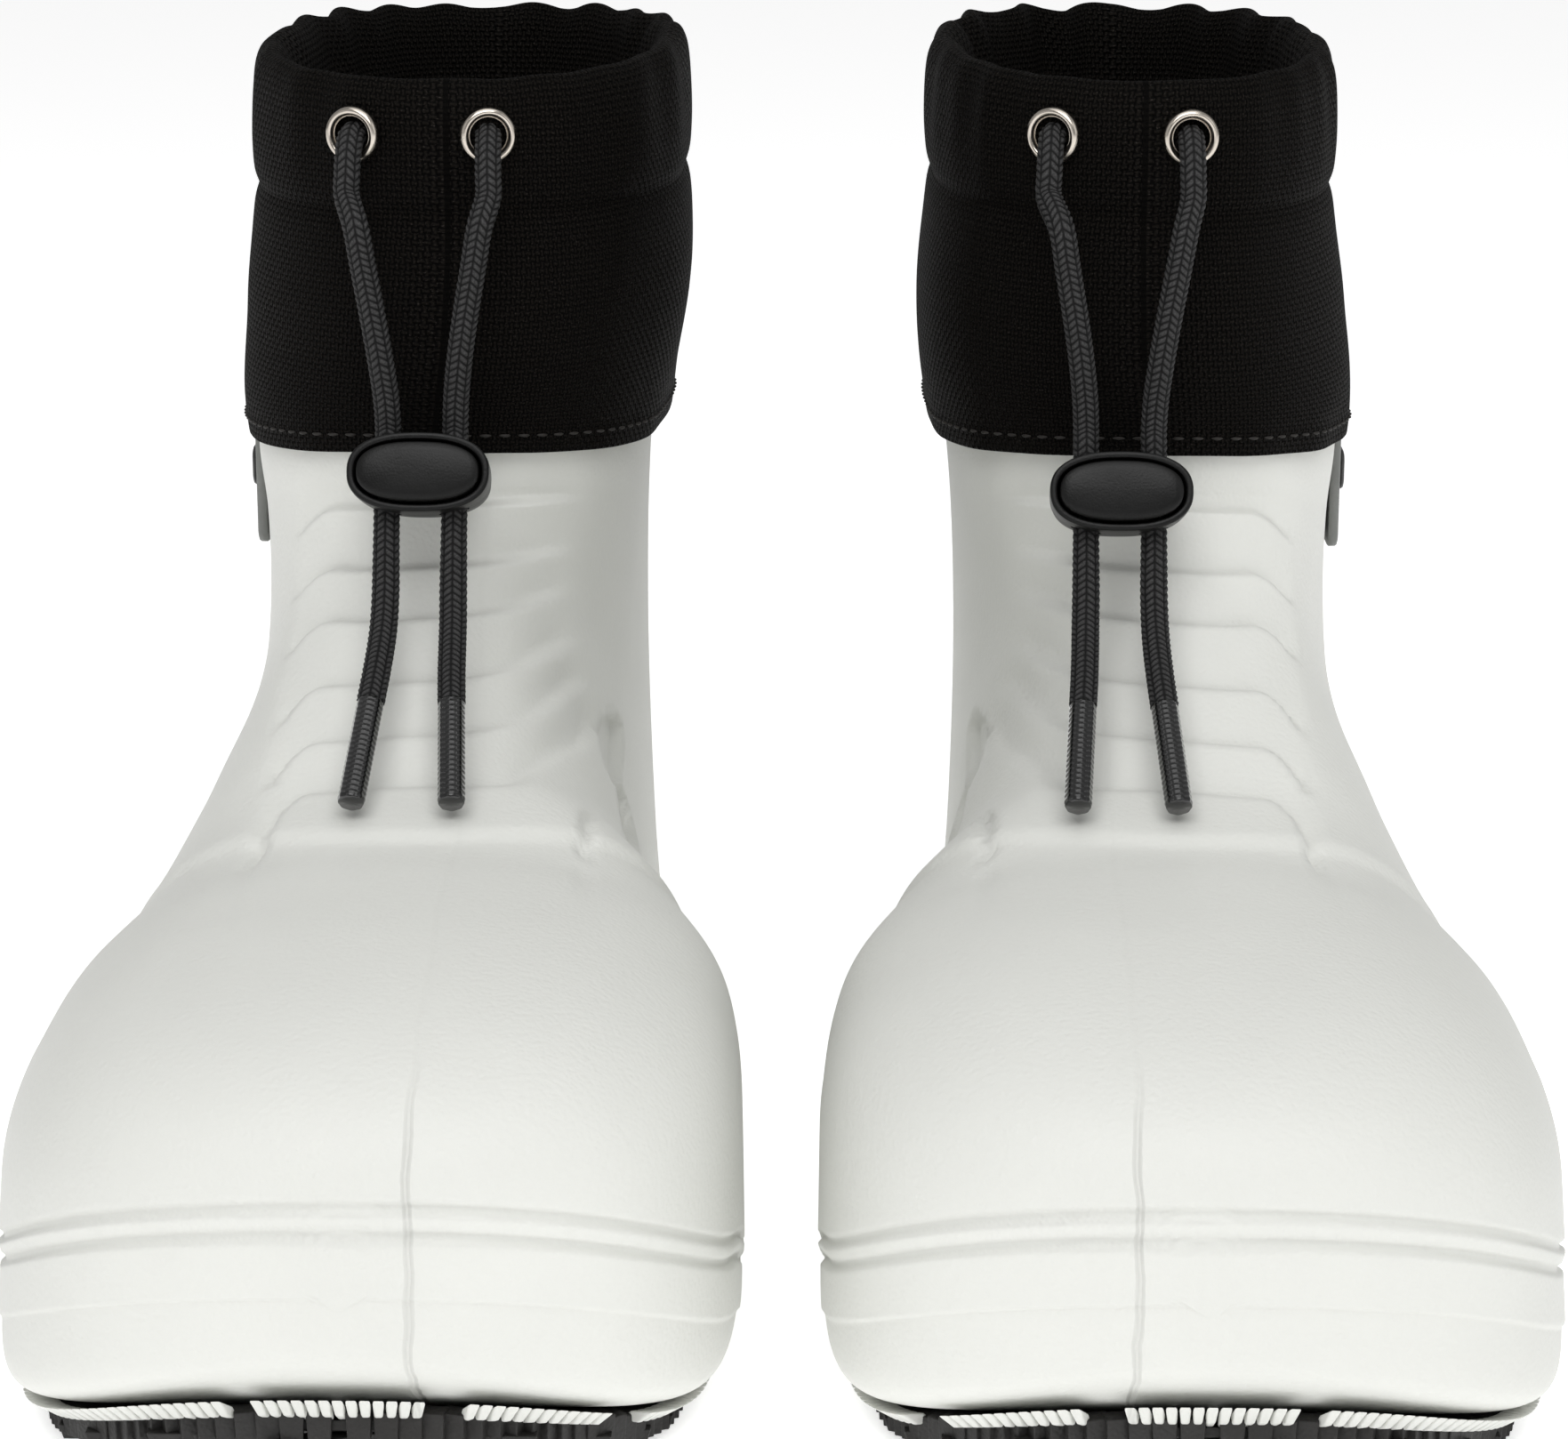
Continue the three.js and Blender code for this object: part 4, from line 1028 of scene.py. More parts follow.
# Out of the eyelet: distance along its axis, and how far the cord has dropped there
EXIT_STEPS = np.array([
    [-2.6, 0], [-0.6, 0], [1.5, 0.35], [3.6, 1.5], [5.4, 3.6], [6.6, 6.6], [7.4, 10.2],
]) / 1000
EYELET_RIM = 0.0015


def eyelet_place(boot, hand):
    """Where an eyelet sits on the casing, and the direction it faces."""
    across = boot["cord_offset"] + hand * EYELET_HALF_SPACING
    turn = math.asin(float(signed_power(across / (SHAFT_HALF_WIDTH + CASING_OUT), TOP_ROUNDNESS / 2)))
    near = oval(np.array([turn - 0.01, turn, turn + 0.01]), CASING_OUT, EYELET_Z)
    along = near[2] - near[0]
    normal = np.array([along[1], -along[0], 0])
    return near[1], normal / np.linalg.norm(normal)


def leg_route(boot, hand):
    """The points that one leg follows, from behind its eyelet to where its tip starts."""
    point, normal = eyelet_place(boot, hand)
    out, drop = EXIT_STEPS.T
    sideways = np.minimum(out, EYELET_RIM) + 0.25 * np.maximum(0, out - EYELET_RIM)
    leaving = np.stack([point[0] + normal[0] * sideways, point[1] + normal[1] * out, point[2] - drop], 1)
    falling = LEG_POINTS * [hand, 1, 1] + [SHAFT_X + boot["cord_offset"], SHAFT_FRONT_Y, 0]
    return np.vstack([leaving, falling])


def centripetal_span(p, t, count, closed):
    """One span of a centripetal Catmull-Rom curve: blends of blends of four points, by their times."""
    p0, p1, p2, p3 = p
    t0, t1, t2, t3 = t
    t = np.linspace(t1, t2, count, endpoint=closed)[:, None]
    a1 = (t1 - t) / (t1 - t0) * p0 + (t - t0) / (t1 - t0) * p1
    a2 = (t2 - t) / (t2 - t1) * p1 + (t - t1) / (t2 - t1) * p2
    a3 = (t3 - t) / (t3 - t2) * p2 + (t - t2) / (t3 - t2) * p3
    b1 = (t2 - t) / (t2 - t0) * a1 + (t - t0) / (t2 - t0) * a2
    b2 = (t3 - t) / (t3 - t1) * a2 + (t - t1) / (t3 - t1) * a3
    return (t2 - t) / (t2 - t1) * b1 + (t - t1) / (t2 - t1) * b2


def smooth_path(points, spacing):
    """A centripetal curve through the points, cut again at even spacing. Returns it and its run length."""
    steps = np.sqrt(np.linalg.norm(np.diff(points, axis=0), axis=1))
    knots = np.concatenate([[0], np.cumsum(steps)])
    ends = np.vstack([2 * points[0] - points[1], points, 2 * points[-1] - points[-2]])
    times = np.concatenate([[2 * knots[0] - knots[1]], knots, [2 * knots[-1] - knots[-2]]])
    last = len(points) - 1
    spans = [(ends[i : i + 4], times[i : i + 4], i == last - 1) for i in range(last)]
    dense = np.vstack([centripetal_span(p, t, 30, closed) for p, t, closed in spans])
    length = run_length(dense)
    even = np.linspace(0, length[-1], max(3, int(length[-1] / spacing) + 1))
    return np.stack([np.interp(even, length, dense[:, k]) for k in range(3)], 1), even


def frames_along(path, side=(1.0, 0.0, 0.0)):
    """At each point of a path: two directions square to it, the first kept near one side."""
    forward = np.gradient(path, axis=0)
    forward /= np.linalg.norm(forward, axis=1, keepdims=True)
    side = np.array(side) - forward * (forward @ np.array(side))[:, None]
    side /= np.linalg.norm(side, axis=1, keepdims=True)
    return side, np.cross(forward, side)


print("each leg is led by", len(EXIT_STEPS) + len(LEG_POINTS), "points")

# %% [markdown]
# ## Braid
# The cord is braided from bundles that lean left and right in alternate columns, like a herringbone. The
# pattern is real relief: the radius rises over each bundle and dips between them, so it shows in outline.
# The hollows between bundles are also painted near black, as painted shade.

# %% Braided cord
BRAID_COLUMNS = 8
BRAID_PITCH = 0.0013
BRAID_LEAN = 0.9
BRAID_DEPTH = 0.00030
CORD_ROUND = math.pi * CORD_DIAMETER
# Painted shade: the near-black colour painted in the hollows between bundles
PAINTED_HOLLOW_SHADE = (0.0035, 0.0035, 0.0036, 1)
BRAID_DARK = (0.026, 0.026, 0.0262, 1)
BRAID_LIGHT = (0.062, 0.061, 0.0615, 1)


def braid_mask(tree, coords):
    """1 on each bundle and 0 in the hollows between, where shade is painted: leaning ribs by the sine of the
    run, times a crown over each column.
    """
    around, along = node(tree, "ShaderNodeSeparateXYZ", {0: coords}).outputs[:2]
    column = times(tree, around, BRAID_COLUMNS / CORD_ROUND)
    within = math_node(tree, "FRACT", column)
    odd = math_node(tree, "FLOORED_MODULO", math_node(tree, "FLOOR", column), 2.0)
    way = math_node(tree, "SUBTRACT", times(tree, odd, 2.0), 1.0)
    lean = times(tree, way, times(tree, math_node(tree, "SUBTRACT", within, 0.5), BRAID_LEAN))
    step = math_node(tree, "ADD", math_node(tree, "DIVIDE", along, BRAID_PITCH), lean)
    ribs = math_node(tree, "ABSOLUTE", math_node(tree, "SINE", times(tree, step, math.pi)))
    crown = math_node(tree, "SINE", times(tree, within, math.pi))
    return times(tree, spread(tree, ribs, 0.2, 0.9), spread(tree, crown, 0.1, 0.6))


def make_cord_material():
    material, tree, shader = new_material("braid", Roughness=0.7, Specular_IOR_Level=0.18)
    coords = node(tree, "ShaderNodeUVMap", uv_map="cloth").outputs[0]
    fibre = noise_at(tree, coords, 3200.0, 3.0)
    lit = blend_colour(tree, spread(tree, fibre, 0.35, 0.7), BRAID_DARK, BRAID_LIGHT)
    # painted shade: the hollows between bundles take the near-black colour
    tone = blend_colour(tree, braid_mask(tree, coords), PAINTED_HOLLOW_SHADE, lit)
    tree.links.new(tone, shader.inputs["Base Color"])
    feed_bump(tree, shader, fibre, 0.7, 0.0002)
    return material


BRAID = make_cord_material()


def braid_relief(around, along):
    """Ribs that lean one way in even columns and the other way in odd ones, and a dip between columns."""
    column = around / (2 * math.pi) * BRAID_COLUMNS
    within = column - np.floor(column)
    lean = np.where(np.floor(column) % 2 > 0, 1, -1)
    ribs = np.abs(np.sin(math.pi * (along / BRAID_PITCH + lean * (within - 0.5) * BRAID_LEAN)))
    crown = np.sin(math.pi * within) ** 0.5
    return BRAID_DEPTH * (ribs - 0.7) * crown + BRAID_DEPTH * (crown - 1)


def tube(path, along, width, height, columns, relief=None):
    """An oval tube carried along a path, with relief added to its radius. Returns its points and uv."""
    side, up = frames_along(path)
    turn = full_turn(columns)[None, :]
    extra = relief(turn, along[:, None]) if relief else 0 * turn
    across = (width[:, None] / 2 + extra) * np.cos(turn)
    over = (height[:, None] / 2 + extra) * np.sin(turn)
    points = path[:, None, :] + side[:, None, :] * across[..., None] + up[:, None, :] * over[..., None]
    uv = np.stack([turn / (2 * math.pi) * CORD_ROUND + 0 * along[:, None], along[:, None] + 0 * turn], -1)
    return points, uv


def tube_object(name, path, along, width, height, columns, mirror, relief=None):
    points, uv = tube(path, along, width, height, columns, relief)
    rows = len(path)
    flat, faces = close_ends(points, grid_faces(rows, columns, wrap_columns=True), rows, columns)
    uv = np.vstack([uv.reshape(-1, 2), uv[0, 0], uv[-1, 0]])
    return face_outward(mesh_object(name, flat, faces, mirror, uv=uv))


CASING_START = 0.45


def build_casing_cord(boot):
    """The drawcord inside the casing: the fabric's own oval, drawn in by its wall and half the channel."""
    turn = np.linspace(CASING_START, 2 * math.pi - CASING_START, 320)
    height = np.full_like(turn, EYELET_Z)
    reach = CASING_OUT - FABRIC_THICK - CHANNEL / 2 + gathered(turn, height, boot["seed"])
    path = oval(turn, reach, height, boot)
    along = run_length(path)
    size = np.full_like(along, 0.9 * CORD_DIAMETER)
    name = boot["name"] + "_casing_braid"
    cord = tube_object(name, path, along, size, size, 24, boot["mirror"])
    return dress(cord, boot, BRAID, "casing_cord")


for boot in BOOTS:
    cord = build_casing_cord(boot)
print("casing cord faces:", len(cord.data.polygons))


def build_cord(boot, hand, side):
    """A free leg: round above the lock, and a little flatter and wider below it."""
    path, along = smooth_path(leg_route(boot, hand), 0.00024)
    below = ramp(-path[:, 2], -0.134, -0.120)
    width = CORD_DIAMETER * (0.97 + 0.06 * below)
    height = CORD_DIAMETER * (0.97 - 0.14 * below)
    name = f"{boot['name']}_{side}_braid"
    cord = tube_object(name, path, along, width, height, 48, boot["mirror"], braid_relief)
    return dress(cord, boot, BRAID, f"{side}_cord"), path, along


# %% [markdown]
# ## Cord tips
# Each end is dipped in clear film that shrinks onto the braid. Under the gloss the braid still shows as
# rows of small dots, painted lighter than the film as dotted highlights on its bumps, and the film ends
# square.

# %% Cord tips
DOT_RUN = 0.0012
DOT_AROUND = 0.0020


def make_film():
    material, tree, shader = new_material("clear_film", Roughness=0.25, Coat_Weight=1.0, Coat_Roughness=0.04,
                                          Specular_IOR_Level=0.3)
    coords = node(tree, "ShaderNodeUVMap", uv_map="cloth").outputs[0]
    around, along = node(tree, "ShaderNodeSeparateXYZ", {0: coords}).outputs[:2]
    rows = math_node(tree, "SINE", times(tree, along, 2 * math.pi / DOT_RUN))
    columns = math_node(tree, "SINE", times(tree, around, 2 * math.pi / DOT_AROUND))
    dots = spread(tree, times(tree, rows, columns), 0.25, 0.8)
    # the dots: the braid's pattern under the film, painted lighter as highlights on its bumps
    tone = blend_colour(tree, dots, (0.002, 0.002, 0.002, 1), (0.02, 0.02, 0.02, 1))
    tree.links.new(tone, shader.inputs["Base Color"])
    feed_bump(tree, shader, dots, 0.5, 0.0002)
    return material


FILM = make_film()


def film_relief(around, along):
    """Shrunk film: faint lengthwise flats where it bridges the braid's columns."""
    return 0.00006 * np.cos(BRAID_COLUMNS * around) + 0.00004 * np.sin(2 * math.pi * along / DOT_RUN)


def build_aglet(boot, hand, side):
    route = leg_route(boot, hand)
    forward = (route[-1] - route[-2]) / np.linalg.norm(route[-1] - route[-2])
    along = np.linspace(0, AGLET_LENGTH, 90)
    path = route[-1] + forward * (along + PIECE_GAP * 0.2)[:, None]
    edge = 1 - 0.06 * ramp(-np.minimum(along, AGLET_LENGTH - along), -0.0006, 0)
    size = AGLET_DIAMETER * edge
    name = f"{boot['name']}_{side}_film_tip"
    tip = tube_object(name, path, along, size, size * 0.92, 40, boot["mirror"], film_relief)
    return dress(tip, boot, FILM, f"{side}_aglet")


print("film shader nodes:", len(FILM.node_tree.nodes))

# %% [markdown]
# ## The cord lock
# The lock is an oval moulded barrel, open at the front, with a sprung button inside. Its outline is a
# superellipse, and its skin is a profile of insets and depths carried round that outline. Its own +Z is
# the way the button faces. It is turned and placed in its mesh.

# %% Cord lock
LOCK_WIDTH = 0.026
LOCK_HEIGHT = 0.0146
LOCK_DEPTH = 0.015
BORE_BEHIND_FACE = 0.0067
BORE_HALF_SPACING = 0.0062
LOCK_WALL = 0.0013
BUTTON_CLEARANCE = 0.0005
BUTTON_TRAVEL = 0.0025
POCKET_DEPTH = LOCK_DEPTH - 0.0015
PROFILE_MIDDLE = 0.0055
EDGE_ROUND = 0.0005
BORE_RADIUS = CORD_DIAMETER / 2 + 0.0003


def make_lock_plastic():
    material, tree, shader = new_material("satin_plastic", Roughness=0.38, Specular_IOR_Level=0.22)
    toned(tree, shader, (0.0045, 0.0045, 0.0044), 90.0, 0.15, (0.3, 0.7, 0.33, 0.45))
    grained(tree, shader, 2600.0, 0.8, 0.25, 0.0001)
    return material


PLASTIC = make_lock_plastic()


def lock_down():
    """The way the cords run down through the lock."""
    return np.array([0, -math.sin(LOCK_TILT), -math.cos(LOCK_TILT)])


def in_lock(boot, points):
    """Places points given in the lock's own frame: x across, y up the cords, z out of its face."""
    tip = math.pi / 2 - LOCK_TILT
    c, s = math.cos(tip), math.sin(tip)
    x, y, z = np.moveaxis(points, -1, 0)
    turned = np.stack([x, y * c - z * s, y * s + z * c], -1)
    centre = np.array([SHAFT_X + boot["cord_offset"], SHAFT_FRONT_Y - LOCK_FORWARD, LOCK_Z])
    return turned + centre + lock_down() * boot["lock_drop"]


def oval_lathe(half_width, half_height, profile, columns):
    """A profile of (inset, depth behind the face) carried round a superellipse outline."""
    turn = full_turn(columns)[None, :]
    inset, depth = np.asarray(profile).T[:, :, None]
    x = (half_width - inset) * signed_power(np.cos(turn), 0.82)
    y = (half_height - inset) * signed_power(np.sin(turn), 0.82)
    return np.stack([x, y, BORE_BEHIND_FACE - depth + 0 * x], -1)


def rounded(profile, radius_steps=4):
    """Cuts each inner corner of a profile back to a short arc, so that edges catch the light."""
    points = [np.array(profile[0], float)]
    for before, corner, after in zip(profile, profile[1:], profile[2:]):
        before, corner, after = (np.array(v, float) for v in (before, corner, after))
        reach = min(EDGE_ROUND, np.linalg.norm(before - corner) / 2.2, np.linalg.norm(after - corner) / 2.2)
        a = corner + (before - corner) / np.linalg.norm(before - corner) * reach
        b = corner + (after - corner) / np.linalg.norm(after - corner) * reach
        t = np.linspace(0, 1, radius_steps)[:, None]
        points.extend((1 - t) ** 2 * a + 2 * t * (1 - t) * corner + t**2 * b)
    points.append(np.array(profile[-1], float))
    return np.array(points)


def cut_away(piece, cutter):
    """Takes a cutter's shape out of a piece, and the cutter out of the scene."""
    cut = piece.modifiers.new("bore", "BOOLEAN")
    cut.operation = "DIFFERENCE"
    cut.solver = "EXACT"
    cut.object = cutter
    bpy.context.view_layer.objects.active = piece
    bpy.ops.object.modifier_apply(modifier=cut.name)
    bpy.data.objects.remove(cutter)


def cut_bores(piece, boot, slot=None):
    """Cuts the two cord ways out of a lock piece: round bores, or long slots between two depths."""
    turn = full_turn(32)
    z = BORE_RADIUS * np.sin(turn)
    if slot:
        front, back = BORE_BEHIND_FACE - slot[0] - BORE_RADIUS, BORE_BEHIND_FACE - slot[1] + BORE_RADIUS
        z = np.where(np.sin(turn) > 0, front + z, back + z)
    for hand in (-1, 1):
        ring = np.stack([hand * BORE_HALF_SPACING + BORE_RADIUS * np.cos(turn), 0 * turn, z], -1)
        rows = np.stack([ring + [0, -LOCK_HEIGHT, 0], ring + [0, LOCK_HEIGHT, 0]])
        cut_away(piece, tube_mesh("cutter", in_lock(boot, rows), boot["mirror"]))


def lock_piece(boot, name, profile, slot=None):
    """An oval lathe from a profile with rounded corners, with the cords' ways cut out of it."""
    rings = oval_lathe(LOCK_WIDTH / 2, LOCK_HEIGHT / 2, rounded(profile), 96)
    piece = tube_mesh(f"{boot['name']}_{name}", in_lock(boot, rings), boot["mirror"])
    cut_bores(piece, boot, slot)
    piece.data.polygons.foreach_set("use_smooth", np.full(len(piece.data.polygons), True))
    piece.data.set_sharp_from_angle(angle=math.radians(40))
    return piece


# Profiles run from the middle of the back round the outside to the middle of the front
BARREL_PROFILE = [
    (PROFILE_MIDDLE, LOCK_DEPTH), (0.0008, LOCK_DEPTH), (0.0002, 0.0085), (0.0, 0.0030), (0.0, 0.0),
    (LOCK_WALL, 0.0), (LOCK_WALL, POCKET_DEPTH), (PROFILE_MIDDLE, POCKET_DEPTH),
]
BUTTON_INSET = LOCK_WALL + BUTTON_CLEARANCE
BUTTON_BACK = POCKET_DEPTH - BUTTON_TRAVEL - 0.0003
BUTTON_PROFILE = [
    (PROFILE_MIDDLE, BUTTON_BACK), (BUTTON_INSET, BUTTON_BACK), (BUTTON_INSET, -0.0008),
    (BUTTON_INSET + 0.0012, -0.00125), (PROFILE_MIDDLE, -0.0015),
]
BUTTON_SLOT = (BORE_BEHIND_FACE - BORE_RADIUS - BUTTON_TRAVEL, BORE_BEHIND_FACE + BORE_RADIUS)

for boot in BOOTS:
    barrel = lock_piece(boot, "lock_barrel", BARREL_PROFILE)
    dress(barrel, boot, PLASTIC, "lock_body", "lock")
    push = lock_piece(boot, "lock_push", BUTTON_PROFILE, BUTTON_SLOT)
    dress(push, boot, PLASTIC, "lock_button", "button")
print("lock faces:", len(barrel.data.polygons), "and", len(push.data.polygons))

# %% Cords and tips
HANDS = (("outer", 1), ("inner", -1))
for boot in BOOTS:
    for side, hand in HANDS:
        cord, path, along = build_cord(boot, hand, side)
        tip = build_aglet(boot, hand, side)

# %% [markdown]
# ## Eyelets
# Each eyelet is a ring of black nickel, rolled over the fabric. A lathe profile with a rounded crown and a
# fine inner bead gives the bright arcs that polished metal shows.

# %% Eyelets
EYELET_BORE = 0.007
EYELET_FLANGE = 0.0104


def make_nickel():
    material, tree, shader = new_material("black_nickel", Metallic=1.0, Roughness=0.2)
    toned(tree, shader, (0.56, 0.51, 0.45), 300.0, 0.12, (0.35, 0.7, 0.14, 0.3))
    return material


NICKEL = make_nickel()


def lathe_points(profile, columns, direction, point):
    """Spins (radius, height) round an axis that is then turned to a direction and set at a point."""
    turn = full_turn(columns)[None, :]
    radius, height = np.asarray(profile).T[:, :, None]
    axis = np.asarray(direction)
    side = np.cross([0, 0, 1.0], axis)
    side /= np.linalg.norm(side)
    up = np.cross(axis, side)
    ring = np.cos(turn)[..., None] * side + np.sin(turn)[..., None] * up
    return point + radius[..., None] * ring + height[..., None] * axis


def eyelet_profile():
    """A barrel, then a crown that swells from its inner bead and curls down to the fabric."""
    bore, flange = EYELET_BORE / 2, EYELET_FLANGE / 2
    middle, half = (bore + flange) / 2, (flange - bore) / 2
    turn = np.linspace(-0.25 * math.pi, math.pi, 14)
    crown = [(middle + half * math.cos(t), 0.0004 + 0.00125 * math.sin(t)) for t in turn]
    bead = [(bore - 0.00008, 0.0009), (bore + 0.00006, 0.0005), (bore, 0.0001)]
    return crown + bead + [(bore, -0.0034), (bore + 0.0004, -0.0034), (bore + 0.0004, -0.0002)]


def build_eyelet(boot, side, hand):
    point, normal = eyelet_place(boot, hand)
    profile = eyelet_profile()
    columns = 64
    points = lathe_points(profile, columns, normal, point + normal * 0.0006)
    faces = grid_faces(len(profile), columns, wrap_rows=True, wrap_columns=True)
    name = f"{boot['name']}_{side}_nickel_eyelet"
    ring = face_outward(mesh_object(name, points, faces, boot["mirror"]))
    return dress(ring, boot, NICKEL, f"{side}_eyelet")


for boot in BOOTS:
    for side, hand in HANDS:
        ring = build_eyelet(boot, side, hand)
print("eyelet faces:", len(ring.data.polygons))

# %% [markdown]
# ## Stitches
# Two rows of stitching show on the collar: one under the casing and one along the hem. Each stitch is a
# short thread lying on the fabric, so the rows are small capsules at an even pitch on the same formula.

# %% Stitch rows
STITCH_RADIUS = 0.00032
STITCH_BOW = 0.0003


def stitch_line(boot, z, reach):
    """A fine line round the collar at one height, lying on the folds of the fabric."""
    turn = np.linspace(0, 2 * math.pi, 2400)
    level = np.full_like(turn, z)
    off = reach + gathered(turn, level, boot["seed"])
    return oval(turn, off, level + hem_line(turn) * near_hem(level), boot)


def capsules(centre, shares):
    """Thin tubes, one to a row of centre, thickest in the middle and bowed a little off the fabric."""
    thick = STITCH_RADIUS * np.sin(math.pi * np.clip(shares, 0.06, 0.94)) ** 0.5
    turn = full_turn(6)
    forward = centre[:, -1] - centre[:, 0]
    forward /= np.linalg.norm(forward, axis=1, keepdims=True)
    up = np.array([0, 0, 1.0])
    out = np.cross(forward, up)
    ring = np.cos(turn)[None, :, None] * up + np.sin(turn)[None, :, None] * out[:, None, :]
    lifted = centre + out[:, None, :] * (STITCH_BOW * np.sin(math.pi * shares))[None, :, None]
    return lifted[:, :, None, :] + thick[None, :, None, None] * ring[:, None, :, :]


def stitch_row(boot, z, reach, pitch, length, name):
    """Stitches at an even pitch. Each has 5 rings of 6 points, its sides and 2 end caps."""
    count = int(math.pi * (SHAFT_HALF_WIDTH + SHAFT_HALF_DEPTH) * 1.04 / pitch)
    line = stitch_line(boot, z, reach)
    run = run_length(line)
    shares = np.linspace(0, 1, 5)
    at = (np.arange(count) * run[-1] / count)[:, None] + shares[None, :] * length
    centre = np.stack([np.interp(at, run, line[:, k]) for k in range(3)], -1)
    one = [tuple(f) for f in grid_faces(5, 6, wrap_columns=True)]
    caps = [tuple(range(5, -1, -1)), tuple(range(24, 30))]
    faces = [tuple(k + 30 * i for k in face) for part in (one, caps) for i in range(count) for face in part]
    row = mesh_object(f"{boot['name']}_{name}", capsules(centre, shares), faces, boot["mirror"])
    return dress(face_outward(row), boot, STITCH)


for boot in BOOTS:
    stitch_row(boot, SEAM_Z + 0.0005, 0.0029, 0.0031, 0.0021, "casing_stitches")
    row = stitch_row(boot, 0.1425, 0.0031, 0.0034, 0.0022, "hem_stitches")
print("hem stitches:", len(row.data.vertices) // 30)

# %% [markdown]
# ## Side tab and badge
# A thin tab of cloudy grey plastic hangs from the hem on the outer side, with a small blank badge.

# %% Side tab and badge
TAB_WIDTH = 0.018
TAB_THICKNESS = 0.002
TAB_LENGTH = 0.026
TAB_TOP = HEM_HEIGHT - PIECE_GAP
TAB_X = SHAFT_X + SHAFT_HALF_WIDTH + 0.0018
PLATE_EDGE = 0.0005
BADGE_SIZE = (0.011, 0.008)
BADGE_THICKNESS = 0.0009
BADGE_X = TAB_X + TAB_THICKNESS + 0.0003


def make_tab_plastic(name, colour, roughness):
    material, tree, shader = new_material(name, Roughness=roughness, Subsurface_Weight=0.1,
                                          Subsurface_Radius=(0.002, 0.002, 0.002))
    toned(tree, shader, colour, 120.0, 0.12)
    grained(tree, shader, 1800.0, 0.5, 0.3, 0.0002)
    return material


TAB_PLASTIC = make_tab_plastic("tab_plastic", (0.17, 0.175, 0.165), 0.45)
BADGE_PLASTIC = make_tab_plastic("badge_plastic", (0.03, 0.03, 0.03), 0.4)


def rounded_plate(size, corner, insets, x_places, columns=48):
    """A rounded rectangle in the YZ plane, with rings at given insets and x places for its edges."""
    turn = full_turn(columns)
    rings = []
    for inset, x in zip(insets, x_places):
        half_w, half_h = size[0] / 2 - inset, size[1] / 2 - inset
        round_off = max(corner - inset, 0.0002)
        y = np.sign(np.cos(turn)) * (half_w - round_off) + round_off * np.cos(turn)
        z = np.sign(np.sin(turn)) * (half_h - round_off) + round_off * np.sin(turn)
        rings.append(np.stack([np.full(columns, x), y, z], -1))
    return np.array(rings)


def build_plate(boot, name, size, corner, x, thickness, z):
    """A thin plate with softened edges, standing at the middle of the shaft's side."""
    edge = PLATE_EDGE
    insets = [edge * 1.6, edge * 0.5, 0, 0, edge * 0.5, edge * 1.6]
    places = [x, x, x + edge * 0.6, x + thickness - edge, x + thickness - edge * 0.3, x + thickness]
    rings = rounded_plate(size, corner, insets, places) + [0, SHAFT_Y, z]
    plate = tube_mesh(f"{boot['name']}_{name}", rings, boot["mirror"])
    plate.data.set_sharp_from_angle(angle=math.radians(50))
    return plate


for boot in BOOTS:
    middle = TAB_TOP - TAB_LENGTH / 2
    tab = build_plate(boot, "hanging_tab", (TAB_WIDTH, TAB_LENGTH), 0.003, TAB_X, TAB_THICKNESS, middle)
    dress(tab, boot, TAB_PLASTIC, "side_tab")
    middle = TAB_TOP - TAB_LENGTH * 0.42
    badge = build_plate(boot, "blank_badge", BADGE_SIZE, 0.0025, BADGE_X, BADGE_THICKNESS, middle)
    dress(badge, boot, BADGE_PLASTIC, "tab_badge")
print("tab faces:", len(tab.data.polygons))

# %% [markdown]
# ## Inside pieces
# The bootie, footbed, washers and springs keep their CAD shapes and get finishes here.

# %% Finishes for kept CAD nodes
FLEECE_DARK = (0.014, 0.0145, 0.016, 1)
FLEECE_LIGHT = (0.05, 0.052, 0.056, 1)


def make_fleece():
    material, tree, shader = new_material("fleece", Roughness=0.95, Sheen_Weight=0.4, Sheen_Roughness=0.5)
    tufts = noise_at(tree, object_place(tree), 420.0, 6.0)
    tone = blend_colour(tree, spread(tree, tufts, 0.35, 0.7), FLEECE_DARK, FLEECE_LIGHT)
    tree.links.new(tone, shader.inputs["Base Color"])
    feed_bump(tree, shader, tufts, 1.0, 0.001)
    return material


def make_steel():
    material, tree, shader = new_material("spring_wire", Metallic=1.0, Roughness=0.3)
    toned(tree, shader, (0.55, 0.55, 0.54), 800.0, 0.1)
    return material


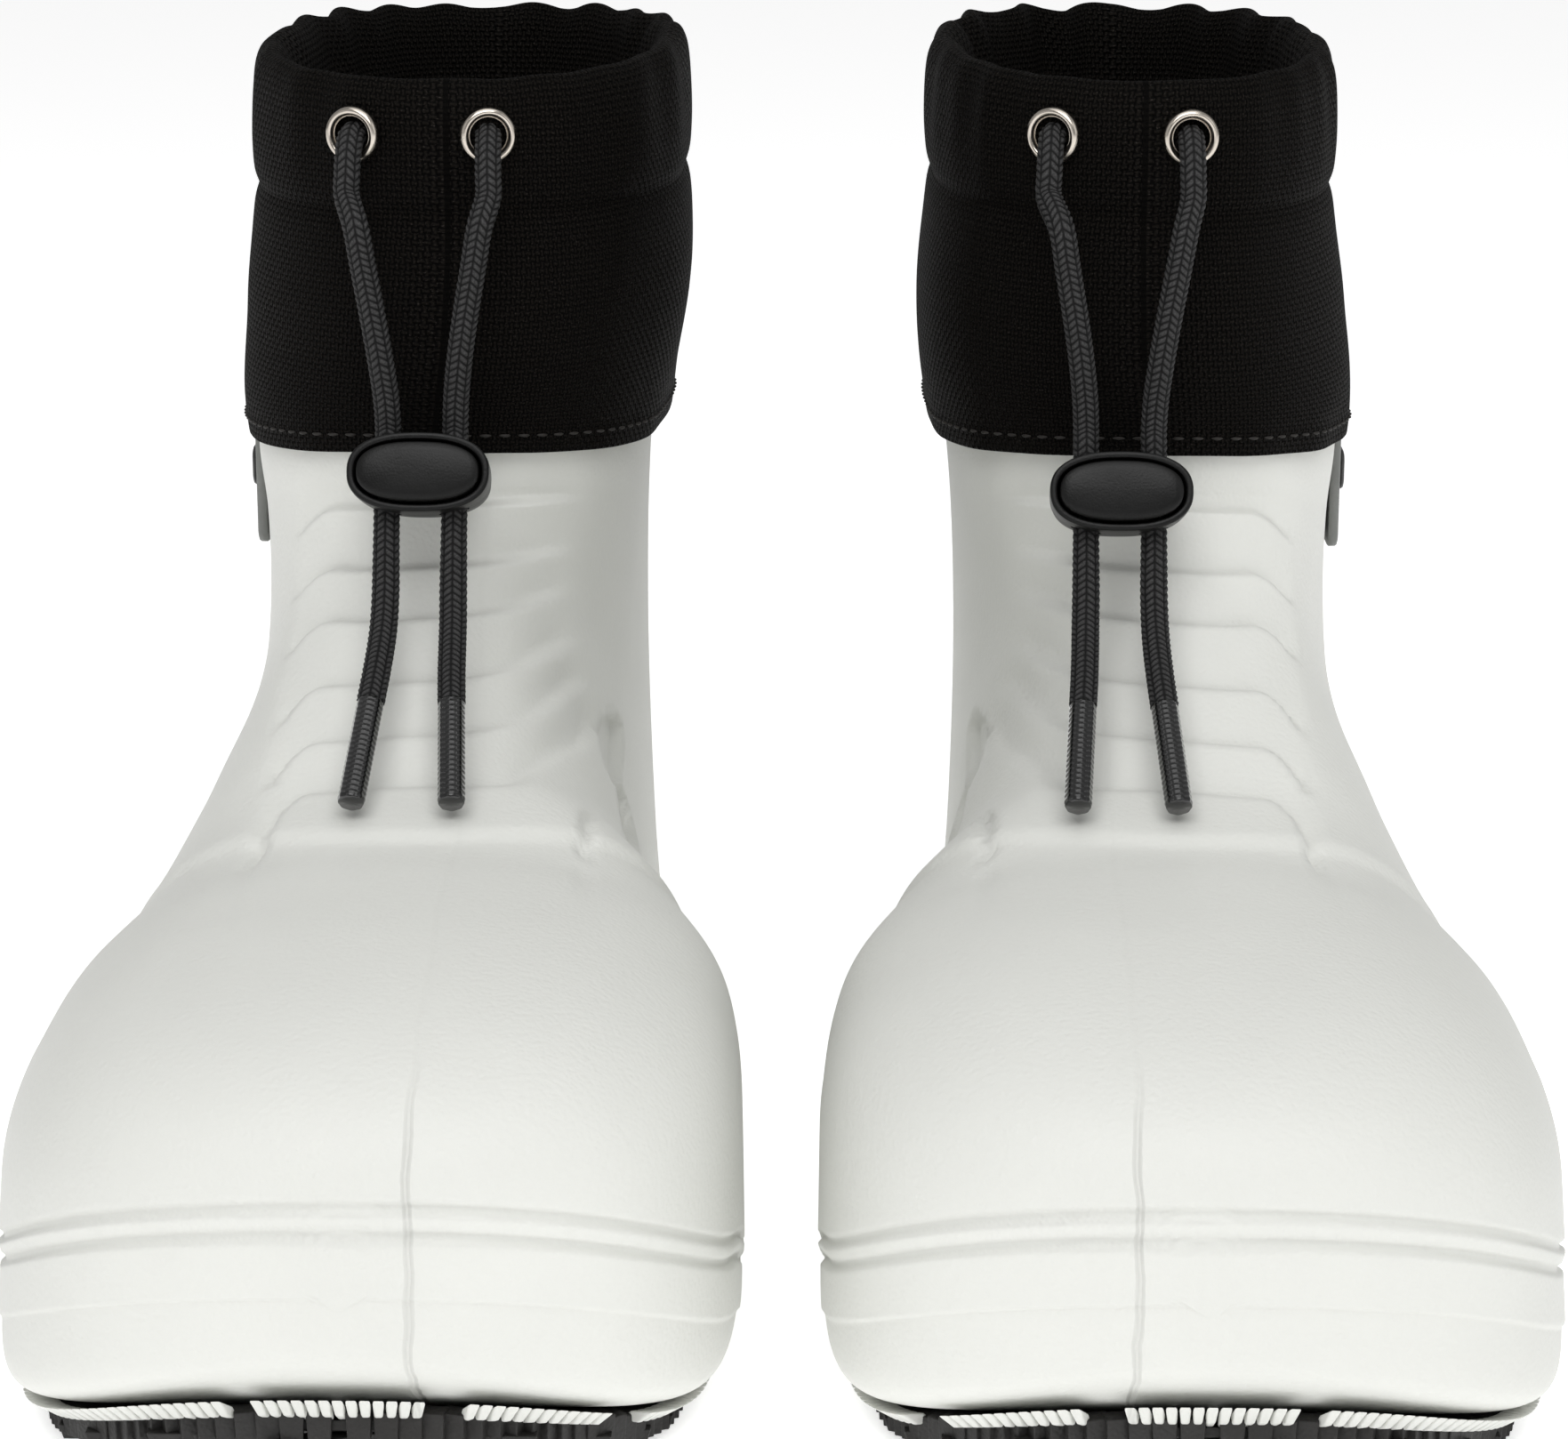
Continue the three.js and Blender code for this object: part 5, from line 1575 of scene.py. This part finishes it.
FLEECE = make_fleece()
STEEL = make_steel()
KEPT = {
    "bootie": FLEECE,
    "insole": FLEECE,
    "outer_washer": NICKEL,
    "inner_washer": NICKEL,
    "lock_spring": STEEL,
}
for boot in BOOTS:
    for label, material in KEPT.items():
        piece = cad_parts[f"{boot['name']}_{label}"]
        piece.data.materials.clear()
        piece.data.materials.append(material)
print("kept CAD nodes:", sorted(KEPT))

# %% [markdown]
# ## Floor and light
# A plain pale floor and soft light from large panels, brighter in front and above, as in a light tent.

# %% Floor and lights
FLOOR_HALF = 6.0
FLOOR_GLOW = 0.56
WORLD_LIGHT = 0.34
# Each panel: its place, what it looks at, its width and height, and its power in watts
PANELS = {
    "front_panel": ((0.0, -1.15, 1.35), (0, 0, 0.10), (1.4, 0.9), 15),
    "top_panel": ((0.0, -0.25, 1.5), (0, -0.05, 0), (1.4, 1.0), 5),
    "left_panel": ((-1.3, -0.7, 0.7), (0, -0.03, 0.08), (0.8, 1.0), 0.7),
    "right_panel": ((1.3, -0.7, 0.7), (0, -0.03, 0.08), (0.8, 1.0), 1.8),
}


def build_floor():
    corners = [(FLOOR_HALF * x, FLOOR_HALF * y, 0) for x, y in ((-1, -1), (1, -1), (1, 1), (-1, 1))]
    floor = mesh_object("floor", corners, [(0, 1, 2, 3)], smooth=False)
    material = new_material("pale_floor", Base_Color=(0.95, 0.95, 0.95, 1), Roughness=0.95,
                            Emission_Color=(1, 1, 1, 1), Emission_Strength=FLOOR_GLOW)[0]
    floor.data.materials.append(material)


def panel(name, place, target, size, power):
    data = bpy.data.lights.new(name, "AREA")
    data.shape = "RECTANGLE"
    data.size, data.size_y = size
    data.energy = power
    light = bpy.data.objects.new(name, data)
    light.location = place
    aim = np.array(target) - np.array(place)
    yaw = math.atan2(-aim[0], aim[1])
    pitch = math.atan2(math.hypot(aim[0], aim[1]), -aim[2])
    light.rotation_euler = (pitch, 0, yaw)
    bpy.context.scene.collection.objects.link(light)


build_floor()
world = bpy.data.worlds.new("studio")
world.use_nodes = True
world.node_tree.nodes["Background"].inputs[0].default_value = (1, 1, 1, 1)
world.node_tree.nodes["Background"].inputs[1].default_value = WORLD_LIGHT
bpy.context.scene.world = world
for name, settings in PANELS.items():
    panel(name, *settings)
bpy.context.scene.view_settings.view_transform = "Standard"
print("light panels:", ", ".join(PANELS))
